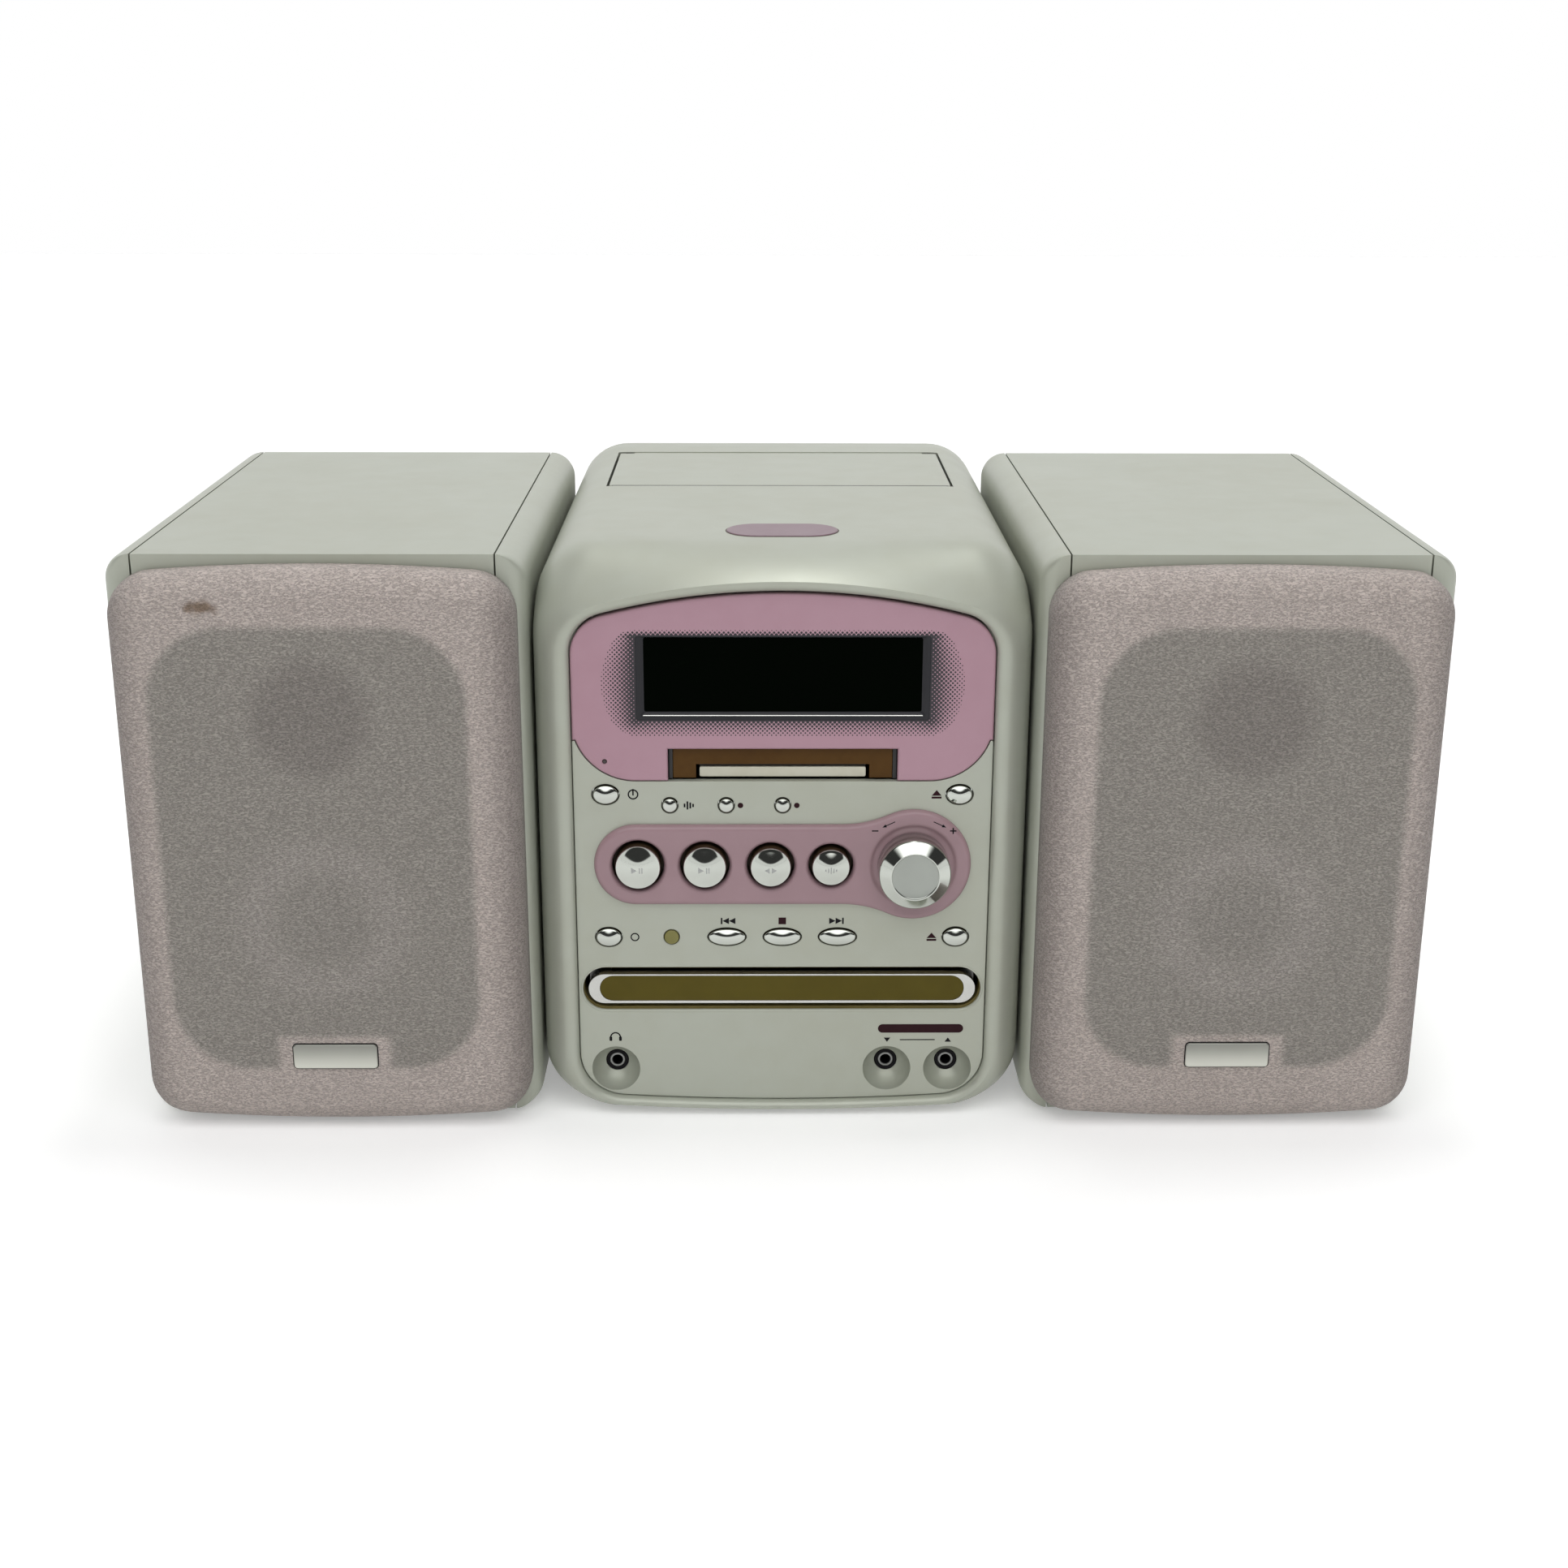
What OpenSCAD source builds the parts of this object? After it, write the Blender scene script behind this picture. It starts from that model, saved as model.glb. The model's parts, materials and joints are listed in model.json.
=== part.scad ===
// Mini hi-fi system: a compact main unit with a disc drawer, a cartridge slot and a
// cassette well, between two free-standing speakers with cloth grilles.
// Millimetres. +X is the viewer's right, +Y points to the back, +Z is up.
// Inside the modules, depth y = 0 is the face of the front panel, and in_frame()
// moves the whole object so that its origin is the middle of its footprint.

/* [Main unit] */
// Width of the main unit's casing
unit_w = 174; // [170:1:180]
// Height of the casing and of the speakers, above the floor
unit_h = 210; // [208:1:216]
// Depth from the front panel's face to the rear edge of the casing
unit_d = 237; // [232:1:250]
// Wall thickness of the casing
wall = 3; // [2.5:0.25:3.5]
// Corner radius of the casing in the front view
corner_r = 21; // [19:1:23]
// Width of the bezel between the panel and the side
bezel_w = 13; // [12:0.5:14]
// How far the bezel stands out in front of the panel
bezel_out = 3; // [2:0.5:4]
// Height of the rubber feet
foot_h = 2; // [1.5:0.5:3]

/* [Front panel] */
// Thickness of the front panel
panel_t = 3; // [2.5:0.25:3.5]
// Height of the panel's lower edge
panel_z = 5.5; // [5:0.5:6.5]
// Half the width of the display
display_half_w = 48.3; // [44:0.1:50]
// Spacing of the small round and transport buttons
button_pitch = 19.9; // [19:0.1:20.5]
// How far a button travels when pressed
button_travel = 1.2; // [0.8:0.1:1.4]
// Radius of the volume knob
knob_r = 12.7; // [12:0.1:13]
// How far the knob's face stands out from the panel
knob_out = 14; // [12:0.5:16]
// Radius of a jack's hole, for a 3.5 mm plug
jack_bore_r = 1.8; // [1.8:0.05:1.9]

/* [Disc drawer] */
// Half the width of the drawer front
drawer_half_w = 70.3; // [69:0.1:70.5]
// Diameter of the disc's seat
disc_seat_d = 122; // [121:0.5:124]
// How far the tray slides out
tray_travel = 125; // [115:1:128]

/* [Cassette well] */
// Half the width of the cassette lid
lid_half_w = 68.2; // [67:0.2:69]
// Length of the lid from front to back
lid_len = 80.7; // [78:0.1:82]
// Distance of the lid's rear edge from the back of the casing
lid_margin = 25.3; // [24:0.1:27]

/* [Speakers] */
// Width of a speaker
speaker_w = 144; // [140:1:150]
// Depth of a speaker's cabinet
speaker_d = 210; // [200:1:220]
// Gap between the main unit and each speaker
speaker_gap = 1; // [0.5:0.5:4]
// Thickness of a side panel
side_t = 10.5; // [9:0.5:12]
// Thickness of the cabinet's boards
board_t = 9; // [8:0.5:10]
// How far the grille stands out from the cabinet
grille_out = 15.4; // [14:0.2:17]
// Radius of the woofer's cone at its rim
cone_r = 42; // [40:0.5:44]
// How far the cone moves each way
cone_travel = 2; // [1:0.5:2.5]
// Radius of the tweeter's flange
tweeter_r = 20; // [18:0.5:21]

/* [Hidden] */
$fn = 64;

// Running clearance between pieces that move past each other, or drop into an opening
clear = 0.3;
// Overlap that makes a cut pass cleanly through a face
cut = 1;
// Heights of the rows on the front, which keep their shares of the unit's height
row_scale = unit_h / 210;
window_z = 129.2 * row_scale;
display_z = 154.3 * row_scale;
display_h = 26.6 * row_scale;
round_z = 120 * row_scale;
source_z = 98 * row_scale;
transport_z = 70 * row_scale;
drawer_z = 49.3 * row_scale;
jack_z = 18 * row_scale;
woofer_z = 84 * row_scale;

badge_t = 0.6;
front_reach = grille_out + badge_t;
origin_shift = (front_reach - unit_d) / 2;

// Front opening, shared by the casing, the panel and the window
half_w = unit_w / 2 - bezel_w;
panel_corner_r = 18;
arch_top = unit_h - 12.4;
arch_r = 250;
arch_corner_r = 14.5;
arch_c = [0, arch_top - arch_r];
arch_corner_x = half_w - arch_corner_r;
arch_corner_z = arch_c[1] + sqrt(pow(arch_r - arch_corner_r, 2) - pow(arch_corner_x, 2));
arch_angle = acos(arch_corner_x / (arch_r - arch_corner_r));
flange_in = 2.8;
flange_back = 16;
window_out = 0.5;
window_corner_r = 22;
window_half_w = half_w - clear;
notch_half_w = 40.3;
notch_h = 11.6;
notch_top = window_z + notch_h;

// Bezel rounding: the side curve in plan, and the top curve in the side view
bezel_band = 3.6;
bezel_r = 14;
bezel_flat_x = half_w + bezel_band;
bezel_turn_y = sqrt(pow(bezel_r, 2) - pow(bezel_flat_x - unit_w / 2 + bezel_r, 2)) - bezel_out;
brow_run = 30;
brow_rise = unit_h - arch_top - bezel_band;
brow_r = (pow(brow_run, 2) + pow(brow_rise, 2)) / (2 * brow_rise);

// Buttons
oval_x = 62.4;
upper_oval_z = round_z + 4;
oval_half = [4.5, 3.4];
transport_half = [6.6, 3.1];
round_r = 2.6;
oval_out = 2;
oval_dome_r = 16;
sensor_r = 2.6;
lamp_r = 0.75;
lamp_z = window_z + 7.2;
source_x = [-51.3, -27.6, -4.2, 17.2];
source_r = [8, 7.6, 7.2, 6.7];
plate_out = 2.5;
collar_t = 1;
collar_w = 1;
collar_y = panel_t + clear;
board_y = 9;
stem_end = board_y - button_travel - clear;
board_pcb_t = 1.6;
board_top = window_z - 4.2;
knob_x = 46.5;
knob_dish_r = 14.7;
knob_dish = 1;
shaft_r = 3;
encoder_w = 12;

// Control plate outline: a round end joined to a larger circle round the knob
plate_end_r = 15;
plate_end_x = -52;
plate_big_r = 20.6;
plate_blend_r = 40;

// Jacks
jack_x = [-60.8, 38.5, 60.8];
dish_r = 8.7;
dish_depth = 8;
dish_wall = 1.5;
jack_r = 4.1;
jack_len = 14;
jack_y = dish_depth - 0.5;
jack_bore_len = 12;

// Drawer and disc mechanism
drawer_h = 11.8;
drawer_y = 2;
drawer_t = 3;
insert_t = 0.8;
pocket_half_w = drawer_half_w + 1.8;
pocket_h = 16.5;
pocket_z = drawer_z + 0.55;
tray_half_w = 66.2;
tray_len = tray_travel + 20;
tray_t = 5;
tray_z = drawer_z - 2.8;
tray_y = drawer_y + drawer_t;
disc_y = tray_y + 72;
disc_seat = 2.2;
rail_w = 3.6;
rail_clear = 0.4;
rail_x = tray_half_w + rail_clear;
rail_top = tray_z + tray_t + 2.5;
deck_floor_z = tray_z - 12.5;
deck_floor_t = 2;
deck_y = 8;
deck_len = tray_len + 12;
gear_module = 1;
pinion_r = 8;
pinion_teeth = 2 * pinion_r / gear_module;
pressure_angle = 20;
backlash = 0.3;
tooth_half = PI * gear_module / 4 - backlash / 4;
rack_x = -54;
rack_z = tray_z - 4;
pinion_x = rack_x + 4 + pinion_r;
pinion_y = 20;
pinion_post_r = 2;
spindle_bore_r = 1.7;

// Cartridge slot
door_half_w = 38.4;
door_y = 2;
door_t = 2;
door_axis_r = 1;
door_pin_r = 0.6;
door_axis = [door_y + door_t / 2, notch_top - 1.4];
flap_half_w = 29.4;
slot_deck_back = 90;

// Cassette well
lid_rear = unit_d - lid_margin;
lid_front = lid_rear - lid_len;
lid_t = 2.6;
lid_axis_r = 2.5;
lid_axis = [lid_rear - lid_axis_r, unit_h - lid_axis_r];
lid_pin_r = 1.5;
lid_ear_w = 3.4;
well_half_w = 52;
well_front = lid_front + 7;
well_rear = lid_rear - 8.7;
well_floor = unit_h - 22;
spindle_x = 21.25;
spindle_y = (well_front + well_rear) / 2;
spindle_r = 2;
pad_y = 41;
pad_half = [20, 11];

// Base and rear
base_half_w = unit_w / 2 - corner_r - 4;
floor_z = foot_h + wall + 1.5;
electrics_y = deck_y + deck_len + 6;
rear_y = unit_d - 5;
rear_t = 2.5;
screw_x = unit_w / 2 - wall - 6;
screw_z = [40, unit_h - 40];
screw_r = 1.5;
inlet_x = -48;
inlet_z = 28;
terminal_x = [22, 54];
terminal_z = 28;
terminal_half = [13, 7];

// Speakers
speaker_in = unit_w / 2 + speaker_gap;
speaker_x = speaker_in + speaker_w / 2;
cabinet_half_w = speaker_w / 2 - side_t;
cabinet_edge_r = 10;
side_front_r = 6;
grille_half_w = speaker_w / 2 - 3;
grille_bottom = foot_h + 0.5;
grille_top = unit_h - 3;
grille_corner_r = 15;
grille_edge_r = 10;
bow_r = 730;
cloth_t = 1.5;
grille_rib = 9;
badge_half = [15, 4.7];
badge_z = 30.5;
flange_r = cone_r + 9;
basket_r = cone_r + 4;
magnet_r = 32;
cone_gap = 0.6;
coil_r = 12.5;
coil_end = -28;
flange_out = cone_travel + 1;
tweeter_z = woofer_z + flange_r + tweeter_r + 3;

// Points of an arc about c, from angle a0 to angle a1
function arc(c, r, a0, a1, n = 12) =
    [for (i = [0:n]) let (a = a0 + (a1 - a0) * i / n) [c[0] + r * cos(a), c[1] + r * sin(a)]];

// The same points on the other side of the middle line, in the opposite order
function mirrored(points) =
    [for (i = [len(points) - 1:-1:0]) [-points[i][0], points[i][1]]];

module in_frame() translate([0, origin_shift, 0]) children();

// Extrudes a front-view outline from depth y0 back to depth y1
module slab(y0, y1) translate([0, y1, 0]) rotate([90, 0, 0]) linear_extrude(y1 - y0) children();

// Turns a profile of (radius, distance in front of the panel) about an axis facing the viewer
module turned(x, z) translate([x, 0, z]) rotate([90, 0, 0]) rotate_extrude() children();

// A round bar or hole facing the viewer, from depth y0 back to depth y1
module rod(x, z, r, y0, y1) translate([x, y1, z]) rotate([90, 0, 0]) cylinder(r = r, h = y1 - y0);

// A box between two corners
module block(a, b) translate(a) cube(b - a);

module stadium(half_w, half_h) {
    square([2 * (half_w - half_h), 2 * half_h], center = true);
    for (side = [-1, 1]) translate([side * (half_w - half_h), 0]) circle(half_h);
}

module rounded_rect(half_w, z0, z1, r) {
    right = concat(
        arc([half_w - r, z0 + r], r, -90, 0),
        arc([half_w - r, z1 - r], r, 0, 90)
    );
    polygon(concat(right, mirrored(right)));
}

// The arched opening in the casing's front, grown by g all round
module front_outline(g = 0) {
    right = concat(
        arc([half_w - panel_corner_r, panel_z + panel_corner_r], panel_corner_r + g, -90, 0),
        arc([arch_corner_x, arch_corner_z], arch_corner_r + g, 0, arch_angle),
        arc(arch_c, arch_r + g, arch_angle, 90)
    );
    polygon(concat(right, mirrored(right)));
}

// The arched window's outline without its notch, grown by g all round
module window_outline(g = 0) {
    low_c = [window_half_w - window_corner_r, window_z + window_corner_r];
    right = concat(
        arc(low_c, window_corner_r + g, -90, 0),
        arc([arch_corner_x - clear, arch_corner_z - clear], arch_corner_r + g, 0, arch_angle),
        arc([0, arch_c[1] - clear], arch_r + g, arch_angle, 90)
    );
    polygon(concat(right, mirrored(right)));
}

// The same points reflected in the height z, in the opposite order
function flipped(points, z) =
    [for (i = [len(points) - 1:-1:0]) [points[i][0], 2 * z - points[i][1]]];

// A bar or prism lying across the unit, drawn in the side view
module across(half) translate([-half, 0, 0]) rotate([90, 0, 90]) linear_extrude(2 * half) children();

// A round bar or hole along X
module axle(y, z, r, x0, x1) translate([x0, y, z]) rotate([0, 90, 0]) cylinder(r = r, h = x1 - x0);

// A rectangle in the front view, symmetric about the middle
module front_rect(half_w, z0, z1) translate([-half_w, z0]) square([2 * half_w, z1 - z0]);

// Casing

module shell_block() intersection() {
    side = [unit_w / 2 - bezel_r, bezel_turn_y];
    side_angle = asin((bezel_turn_y + bezel_out) / bezel_r);
    plan_right = concat(arc(side, bezel_r, -side_angle, 0), [[unit_w / 2, unit_d + cut]]);
    brow_c = [brow_run - bezel_out, unit_h - brow_r];
    slab(-bezel_out, unit_d) rounded_rect(unit_w / 2, foot_h, unit_h, corner_r);
    linear_extrude(unit_h + cut) polygon(concat(plan_right, mirrored(plan_right)));
    across(unit_w) polygon(concat(
        [[-bezel_out, foot_h + 2], [2 - bezel_out, foot_h], [unit_d + cut, foot_h], [unit_d + cut, unit_h]],
        arc(brow_c, brow_r, 90, 90 + asin(brow_run / brow_r))
    ));
}

module outer_shell() in_frame() color([0.74, 0.75, 0.69]) difference() {
    union() {
        difference() {
            shell_block();
            slab(flange_back, unit_d + cut)
                rounded_rect(unit_w / 2 - wall, foot_h + wall, unit_h - wall, corner_r - wall);
        }
        for (side = [-1, 1], z = screw_z) rod(side * screw_x, z, 6.3, rear_y - 42, rear_y);
    }
    slab(-bezel_out - cut, panel_t) front_outline();
    slab(panel_t - cut, flange_back + cut) front_outline(-flange_in);
    for (x = jack_x) rod(x, jack_z, dish_r + dish_wall + clear, panel_t, flange_back + cut);
    block(
        [-lid_half_w - clear, lid_front - clear, unit_h - wall - cut],
        [lid_half_w + clear, lid_rear + clear, unit_h + cut]
    );
    translate([0, pad_y, unit_h - wall - cut]) linear_extrude(wall + 2 * cut)
        stadium(pad_half[0] + clear, pad_half[1] + clear);
    for (side = [-1, 1], z = screw_z) rod(side * screw_x, z, screw_r + 0.1, rear_y - 12, rear_y + cut);
}

module base_plate() in_frame() color("silver") block(
    [-base_half_w, flange_back + 2, foot_h + wall],
    [base_half_w, rear_y - 2, floor_z]
);

module rear_panel() in_frame() color("dimgray") slab(rear_y, rear_y + rear_t) difference() {
    gap = wall + clear;
    rounded_rect(unit_w / 2 - gap, foot_h + gap, unit_h - gap, corner_r - gap);
    for (side = [-1, 1], z = screw_z) translate([side * screw_x, z]) circle(screw_r + 0.2);
    translate([inlet_x, inlet_z]) stadium(12 + clear, 7 + clear);
    for (x = terminal_x) translate([x, terminal_z])
        front_rect(terminal_half[0] + clear, -terminal_half[1] - clear, terminal_half[1] + clear);
}

module feet() in_frame() color("black") {
    for (side = [-1, 1], y = [24, unit_d - 22]) translate([side * 56, y, 0]) cylinder(r = 7, h = foot_h);
    for (side = [-1, 1], edge = [-1, 1], y = [20, speaker_d - 20])
        translate([side * speaker_x + edge * (cabinet_half_w - 9), y, 0]) cylinder(r = 7, h = foot_h);
}

module screws() in_frame() color("gray") for (side = [-1, 1], z = screw_z) {
    rod(side * screw_x, z, 3, rear_y + rear_t, rear_y + rear_t + 1.8);
    rod(side * screw_x, z, screw_r, rear_y - 10, rear_y + rear_t);
}

// Front panel and what sits in it

module panel_holes() {
    for (side = [-1, 1], z = [upper_oval_z, transport_z])
        translate([side * oval_x, z]) stadium(oval_half[0] + clear, oval_half[1] + clear);
    for (i = [-2:0]) translate([i * button_pitch, round_z]) circle(round_r + clear);
    for (i = [-1:1]) translate([i * button_pitch, transport_z])
        stadium(transport_half[0] + clear, transport_half[1] + clear);
    translate([-2 * button_pitch, transport_z]) circle(sensor_r + clear);
    for (i = [0:3]) translate([source_x[i], source_z]) circle(source_r[i] + clear);
    translate([knob_x, source_z]) circle(shaft_r + clear);
    translate([0, pocket_z]) stadium(pocket_half_w, pocket_h / 2);
}

module front_panel() in_frame() color([0.74, 0.75, 0.69]) difference() {
    union() {
        slab(0, panel_t) difference() {
            intersection() {
                front_outline(-clear);
                front_rect(unit_w, 0, window_z + 0.72 * window_corner_r);
            }
            window_outline(clear);
            panel_holes();
        }
        for (x = jack_x) rod(x, jack_z, dish_r + dish_wall, panel_t / 2, dish_depth + 1);
    }
    for (x = jack_x) {
        translate([x, 0, jack_z]) sphere(dish_r);
        rod(x, jack_z, jack_r + 0.2, -cut, dish_depth + 2);
    }
}

module display_window() in_frame() color([0.86, 0.6, 0.62]) slab(-window_out, panel_t) difference() {
    window_outline();
    front_rect(notch_half_w, window_z - cut, notch_top);
    front_rect(display_half_w + clear, display_z - clear, display_z + display_h + clear);
    translate([-oval_x, lamp_z]) circle(lamp_r + 0.1);
}

module display_module() in_frame() color([0.08, 0.08, 0.08]) {
    slab(0.5, panel_t) front_rect(display_half_w, display_z, display_z + display_h);
    slab(panel_t, 12) front_rect(display_half_w + 3, display_z - 3, display_z + display_h + 3);
}

module standby_lamp() in_frame() color("red") turned(-oval_x, lamp_z) polygon([
    [0, -panel_t - 2], [2 * lamp_r, -panel_t - 2], [2 * lamp_r, -panel_t],
    [lamp_r, -panel_t], [lamp_r, window_out + 0.1], [0, window_out + 0.3]
]);

module remote_sensor() in_frame() color([0.32, 0.28, 0.1])
    rod(-2 * button_pitch, transport_z, sensor_r, -0.6, board_y);

module plate_outline() {
    c = [knob_x, source_z];
    blend_z = source_z + plate_end_r + plate_blend_r;
    reach = plate_big_r + plate_blend_r;
    blend = [knob_x - sqrt(pow(reach, 2) - pow(blend_z - source_z, 2)), blend_z];
    turn = 180 - asin((blend_z - source_z) / reach);
    upper = concat(
        arc(c, plate_big_r, 0, turn),
        arc(blend, plate_blend_r, turn + 180, 270),
        arc([plate_end_x, source_z], plate_end_r, 90, 180)
    );
    polygon(concat(upper, flipped(upper, source_z)));
}

module control_plate() in_frame() color([0.86, 0.6, 0.62]) difference() {
    slab(-plate_out, 0) difference() {
        plate_outline();
        for (i = [0:3]) translate([source_x[i], source_z]) circle(source_r[i] + clear);
        translate([knob_x, source_z]) circle(shaft_r + clear);
    }
    rod(knob_x, source_z, knob_dish_r, -plate_out - cut, knob_dish - plate_out);
}

// Buttons

// A domed round button with a collar behind the panel and a stem to its switch
module domed_button(x, z, r, edge, top) in_frame() color("gainsboro") turned(x, z) {
    rise = top - edge;
    dome_r = (r * r + rise * rise) / (2 * rise);
    polygon(concat(
        [[0, -stem_end], [1.5, -stem_end], [1.5, -collar_y - collar_t]],
        [[r + collar_w, -collar_y - collar_t], [r + collar_w, -collar_y], [r, -collar_y]],
        arc([0, top - dome_r], dome_r, acos(r / dome_r), 90)
    ));
}

// A domed oval button of the same construction
module oval_button(x, z, half) in_frame() color("gainsboro") translate([x, 0, z]) {
    intersection() {
        slab(-oval_out, collar_y + collar_t) stadium(half[0], half[1]);
        translate([0, oval_dome_r - oval_out, 0]) sphere(oval_dome_r);
    }
    slab(collar_y, collar_y + collar_t) stadium(half[0] + collar_w, half[1] + collar_w);
    rod(0, 0, 1.5, collar_y, stem_end);
}

module source_button(i) domed_button(source_x[i], source_z, source_r[i], plate_out + 1.4, plate_out + 3.7);
module source_button_1() source_button(0);
module source_button_2() source_button(1);
module source_button_3() source_button(2);
module source_button_4() source_button(3);

module round_button(i) domed_button((i - 3) * button_pitch, round_z, round_r, 0.4, 1.4);
module round_button_1() round_button(1);
module round_button_2() round_button(2);
module round_button_3() round_button(3);

module power_button() oval_button(-oval_x, upper_oval_z, oval_half);
module slot_eject_button() oval_button(oval_x, upper_oval_z, oval_half);
module display_button() oval_button(-oval_x, transport_z, oval_half);
module tray_eject_button() oval_button(oval_x, transport_z, oval_half);
module previous_button() oval_button(-button_pitch, transport_z, transport_half);
module stop_button() oval_button(0, transport_z, transport_half);
module next_button() oval_button(button_pitch, transport_z, transport_half);

module volume_knob() in_frame() color("silver") turned(knob_x, source_z) {
    base = plate_out - knob_dish + clear;
    polygon([
        [0, -board_y + 0.4], [shaft_r, -board_y + 0.4], [shaft_r, base], [knob_r - 0.5, base],
        [knob_r, base + 1], [knob_r, knob_out - 2.6], [knob_r - 2.1, knob_out],
        [knob_r - 2.5, knob_out - 0.5], [0, knob_out - 0.5]
    ]);
}

module volume_encoder() in_frame() color("dimgray") translate([knob_x, 0, source_z])
    slab(panel_t, board_y) difference() {
        square(encoder_w, center = true);
        circle(shaft_r + 0.2);
    }

module control_board() in_frame() color("darkgreen") slab(board_y, board_y + board_pcb_t)
    front_rect(oval_x + 6.5, transport_z - 8, board_top);

module jacks() in_frame() color("black") for (x = jack_x) difference() {
    rod(x, jack_z, jack_r, jack_y, jack_y + jack_len);
    rod(x, jack_z, jack_bore_r, jack_y - cut, jack_y + jack_bore_len);
}

// Cartridge slot

module slot_cover() in_frame() color([0.42, 0.28, 0.12]) {
    slab(door_y, door_y + door_t) difference() {
        front_rect(door_half_w, window_z + 0.4, door_axis[1]);
        front_rect(flap_half_w + 0.8, window_z - cut, window_z + 5);
    }
    axle(door_axis[0], door_axis[1], door_axis_r, -door_half_w, door_half_w);
    for (side = [-1, 1]) translate([side * (door_half_w + 0.6), 0, 0])
        axle(door_axis[0], door_axis[1], door_pin_r, -0.6, 0.6);
}

module slot_flap() in_frame() color("wheat") slab(door_y + door_t, door_y + door_t + 1)
    front_rect(flap_half_w, window_z + 0.4, window_z + 7.2);

module slot_deck() in_frame() color([0.1, 0.1, 0.1]) difference() {
    cavity = door_half_w + clear;
    box_y = panel_t + 0.4;
    shelf_z = window_z - 3.4;
    union() {
        for (side = [0, 1]) mirror([side, 0, 0]) {
            block([cavity, door_y - 0.2, window_z + 0.3], [notch_half_w - 0.4, box_y + cut, notch_top - 0.3]);
            block([rail_x, flange_back, rail_top], [rail_x + rail_w, slot_deck_back, shelf_z]);
        }
        block([-cavity - 6, box_y, shelf_z], [cavity + 6, slot_deck_back, notch_top + 3.2]);
        block([-rail_x - rail_w, flange_back, shelf_z - 3], [rail_x + rail_w, slot_deck_back, shelf_z]);
    }
    block([-cavity, door_y - cut, window_z - 0.6], [cavity, flange_back, notch_top + 0.4]);
    block([-cavity, flange_back - cut, window_z - 0.6], [cavity, slot_deck_back - 2, notch_top - 3.8]);
    axle(door_axis[0], door_axis[1], door_pin_r + 0.2, -cavity - 1.5, cavity + 1.5);
}

// Disc drawer

module tray_front() in_frame() color("silver") translate([0, 0, drawer_z])
    slab(drawer_y, drawer_y + drawer_t) stadium(drawer_half_w, drawer_h / 2);

module tray_insert() in_frame() color([0.34, 0.3, 0.11]) translate([0, 0, drawer_z])
    slab(drawer_y - insert_t, drawer_y) stadium(drawer_half_w - 4.1, drawer_h / 2 - 0.8);

// Half the angle that a gear tooth fills at radius r, for a 20 degree involute
function involute(a) = tan(a) * 180 / PI - a;
function tooth_half_angle(r) =
    let (base = pinion_r * cos(pressure_angle))
    tooth_half / pinion_r * 180 / PI + involute(pressure_angle) - involute(acos(min(1, base / r)));

module pinion_outline() {
    root = pinion_r - 1.25 * gear_module;
    tip = pinion_r + gear_module;
    base = pinion_r * cos(pressure_angle);
    radii = concat([root - 0.2], [for (i = [0:5]) base + (tip - base) * i / 5]);
    flank = [for (r = radii) r * [cos(tooth_half_angle(r)), sin(tooth_half_angle(r))]];
    circle(root);
    for (i = [0:pinion_teeth - 1]) rotate(180 + (i + 0.5) * 360 / pinion_teeth)
        polygon(concat([for (p = flank) [p[0], -p[1]]], [for (i = [len(flank) - 1:-1:0]) flank[i]]));
}

module loading_pinion() in_frame() color("ivory") translate([pinion_x, pinion_y, rack_z])
    linear_extrude(tray_z - rack_z - 0.5) difference() {
        pinion_outline();
        circle(pinion_post_r + 0.2);
    }

module rack() {
    pitch_x = pinion_x - pinion_r;
    root_x = pitch_x - 1.25 * gear_module;
    tip_x = pitch_x + gear_module;
    root_half = tooth_half + 1.25 * gear_module * tan(pressure_angle);
    tip_half = tooth_half - gear_module * tan(pressure_angle);
    last = floor((tray_y + tray_len - 1 - pinion_y) / (PI * gear_module));
    translate([0, 0, rack_z]) linear_extrude(tray_z - rack_z + cut) {
        translate([rack_x, pinion_y - 12]) square([root_x - rack_x, tray_y + tray_len - pinion_y + 12]);
        for (i = [-3:last]) translate([0, pinion_y + i * PI * gear_module]) polygon([
            [root_x - 0.1, -root_half], [tip_x, -tip_half], [tip_x, tip_half], [root_x - 0.1, root_half]
        ]);
    }
}

module disc_tray() in_frame() color([0.15, 0.15, 0.15]) difference() {
    union() {
        block([-tray_half_w, tray_y, tray_z], [tray_half_w, tray_y + tray_len, tray_z + tray_t]);
        rack();
    }
    translate([0, disc_y, tray_z + tray_t - disc_seat]) cylinder(d = disc_seat_d, h = disc_seat + cut, $fn = 96);
    block([-20, disc_y - 18, tray_z - cut], [20, disc_y + 45, tray_z + tray_t]);
}

module disc_deck() in_frame() color("darkgray") {
    floor_top = deck_floor_z + deck_floor_t;
    back = deck_y + deck_len;
    difference() {
        block([-rail_x, deck_y, deck_floor_z], [rail_x, back, floor_top]);
        translate([0, disc_y, deck_floor_z - cut]) cylinder(r = spindle_bore_r, h = deck_floor_t + 2 * cut);
    }
    for (side = [0, 1]) mirror([side, 0, 0]) {
        block([rail_x, deck_y, deck_floor_z], [rail_x + rail_w, back, rail_top]);
        block([rail_x - 5.6, deck_y, floor_top], [rail_x, back, tray_z - clear]);
        block([rail_x - 4, deck_y, tray_z + tray_t + clear], [rail_x, back, rail_top]);
        for (y = [40, back - 15]) translate([rail_x - 6.6, y, floor_z])
            cylinder(r = 4, h = deck_floor_z - floor_z);
    }
    translate([pinion_x, pinion_y, floor_top]) {
        cylinder(r = 4, h = rack_z - clear - floor_top);
        cylinder(r = pinion_post_r, h = tray_z - 0.6 - floor_top);
    }
}

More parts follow.
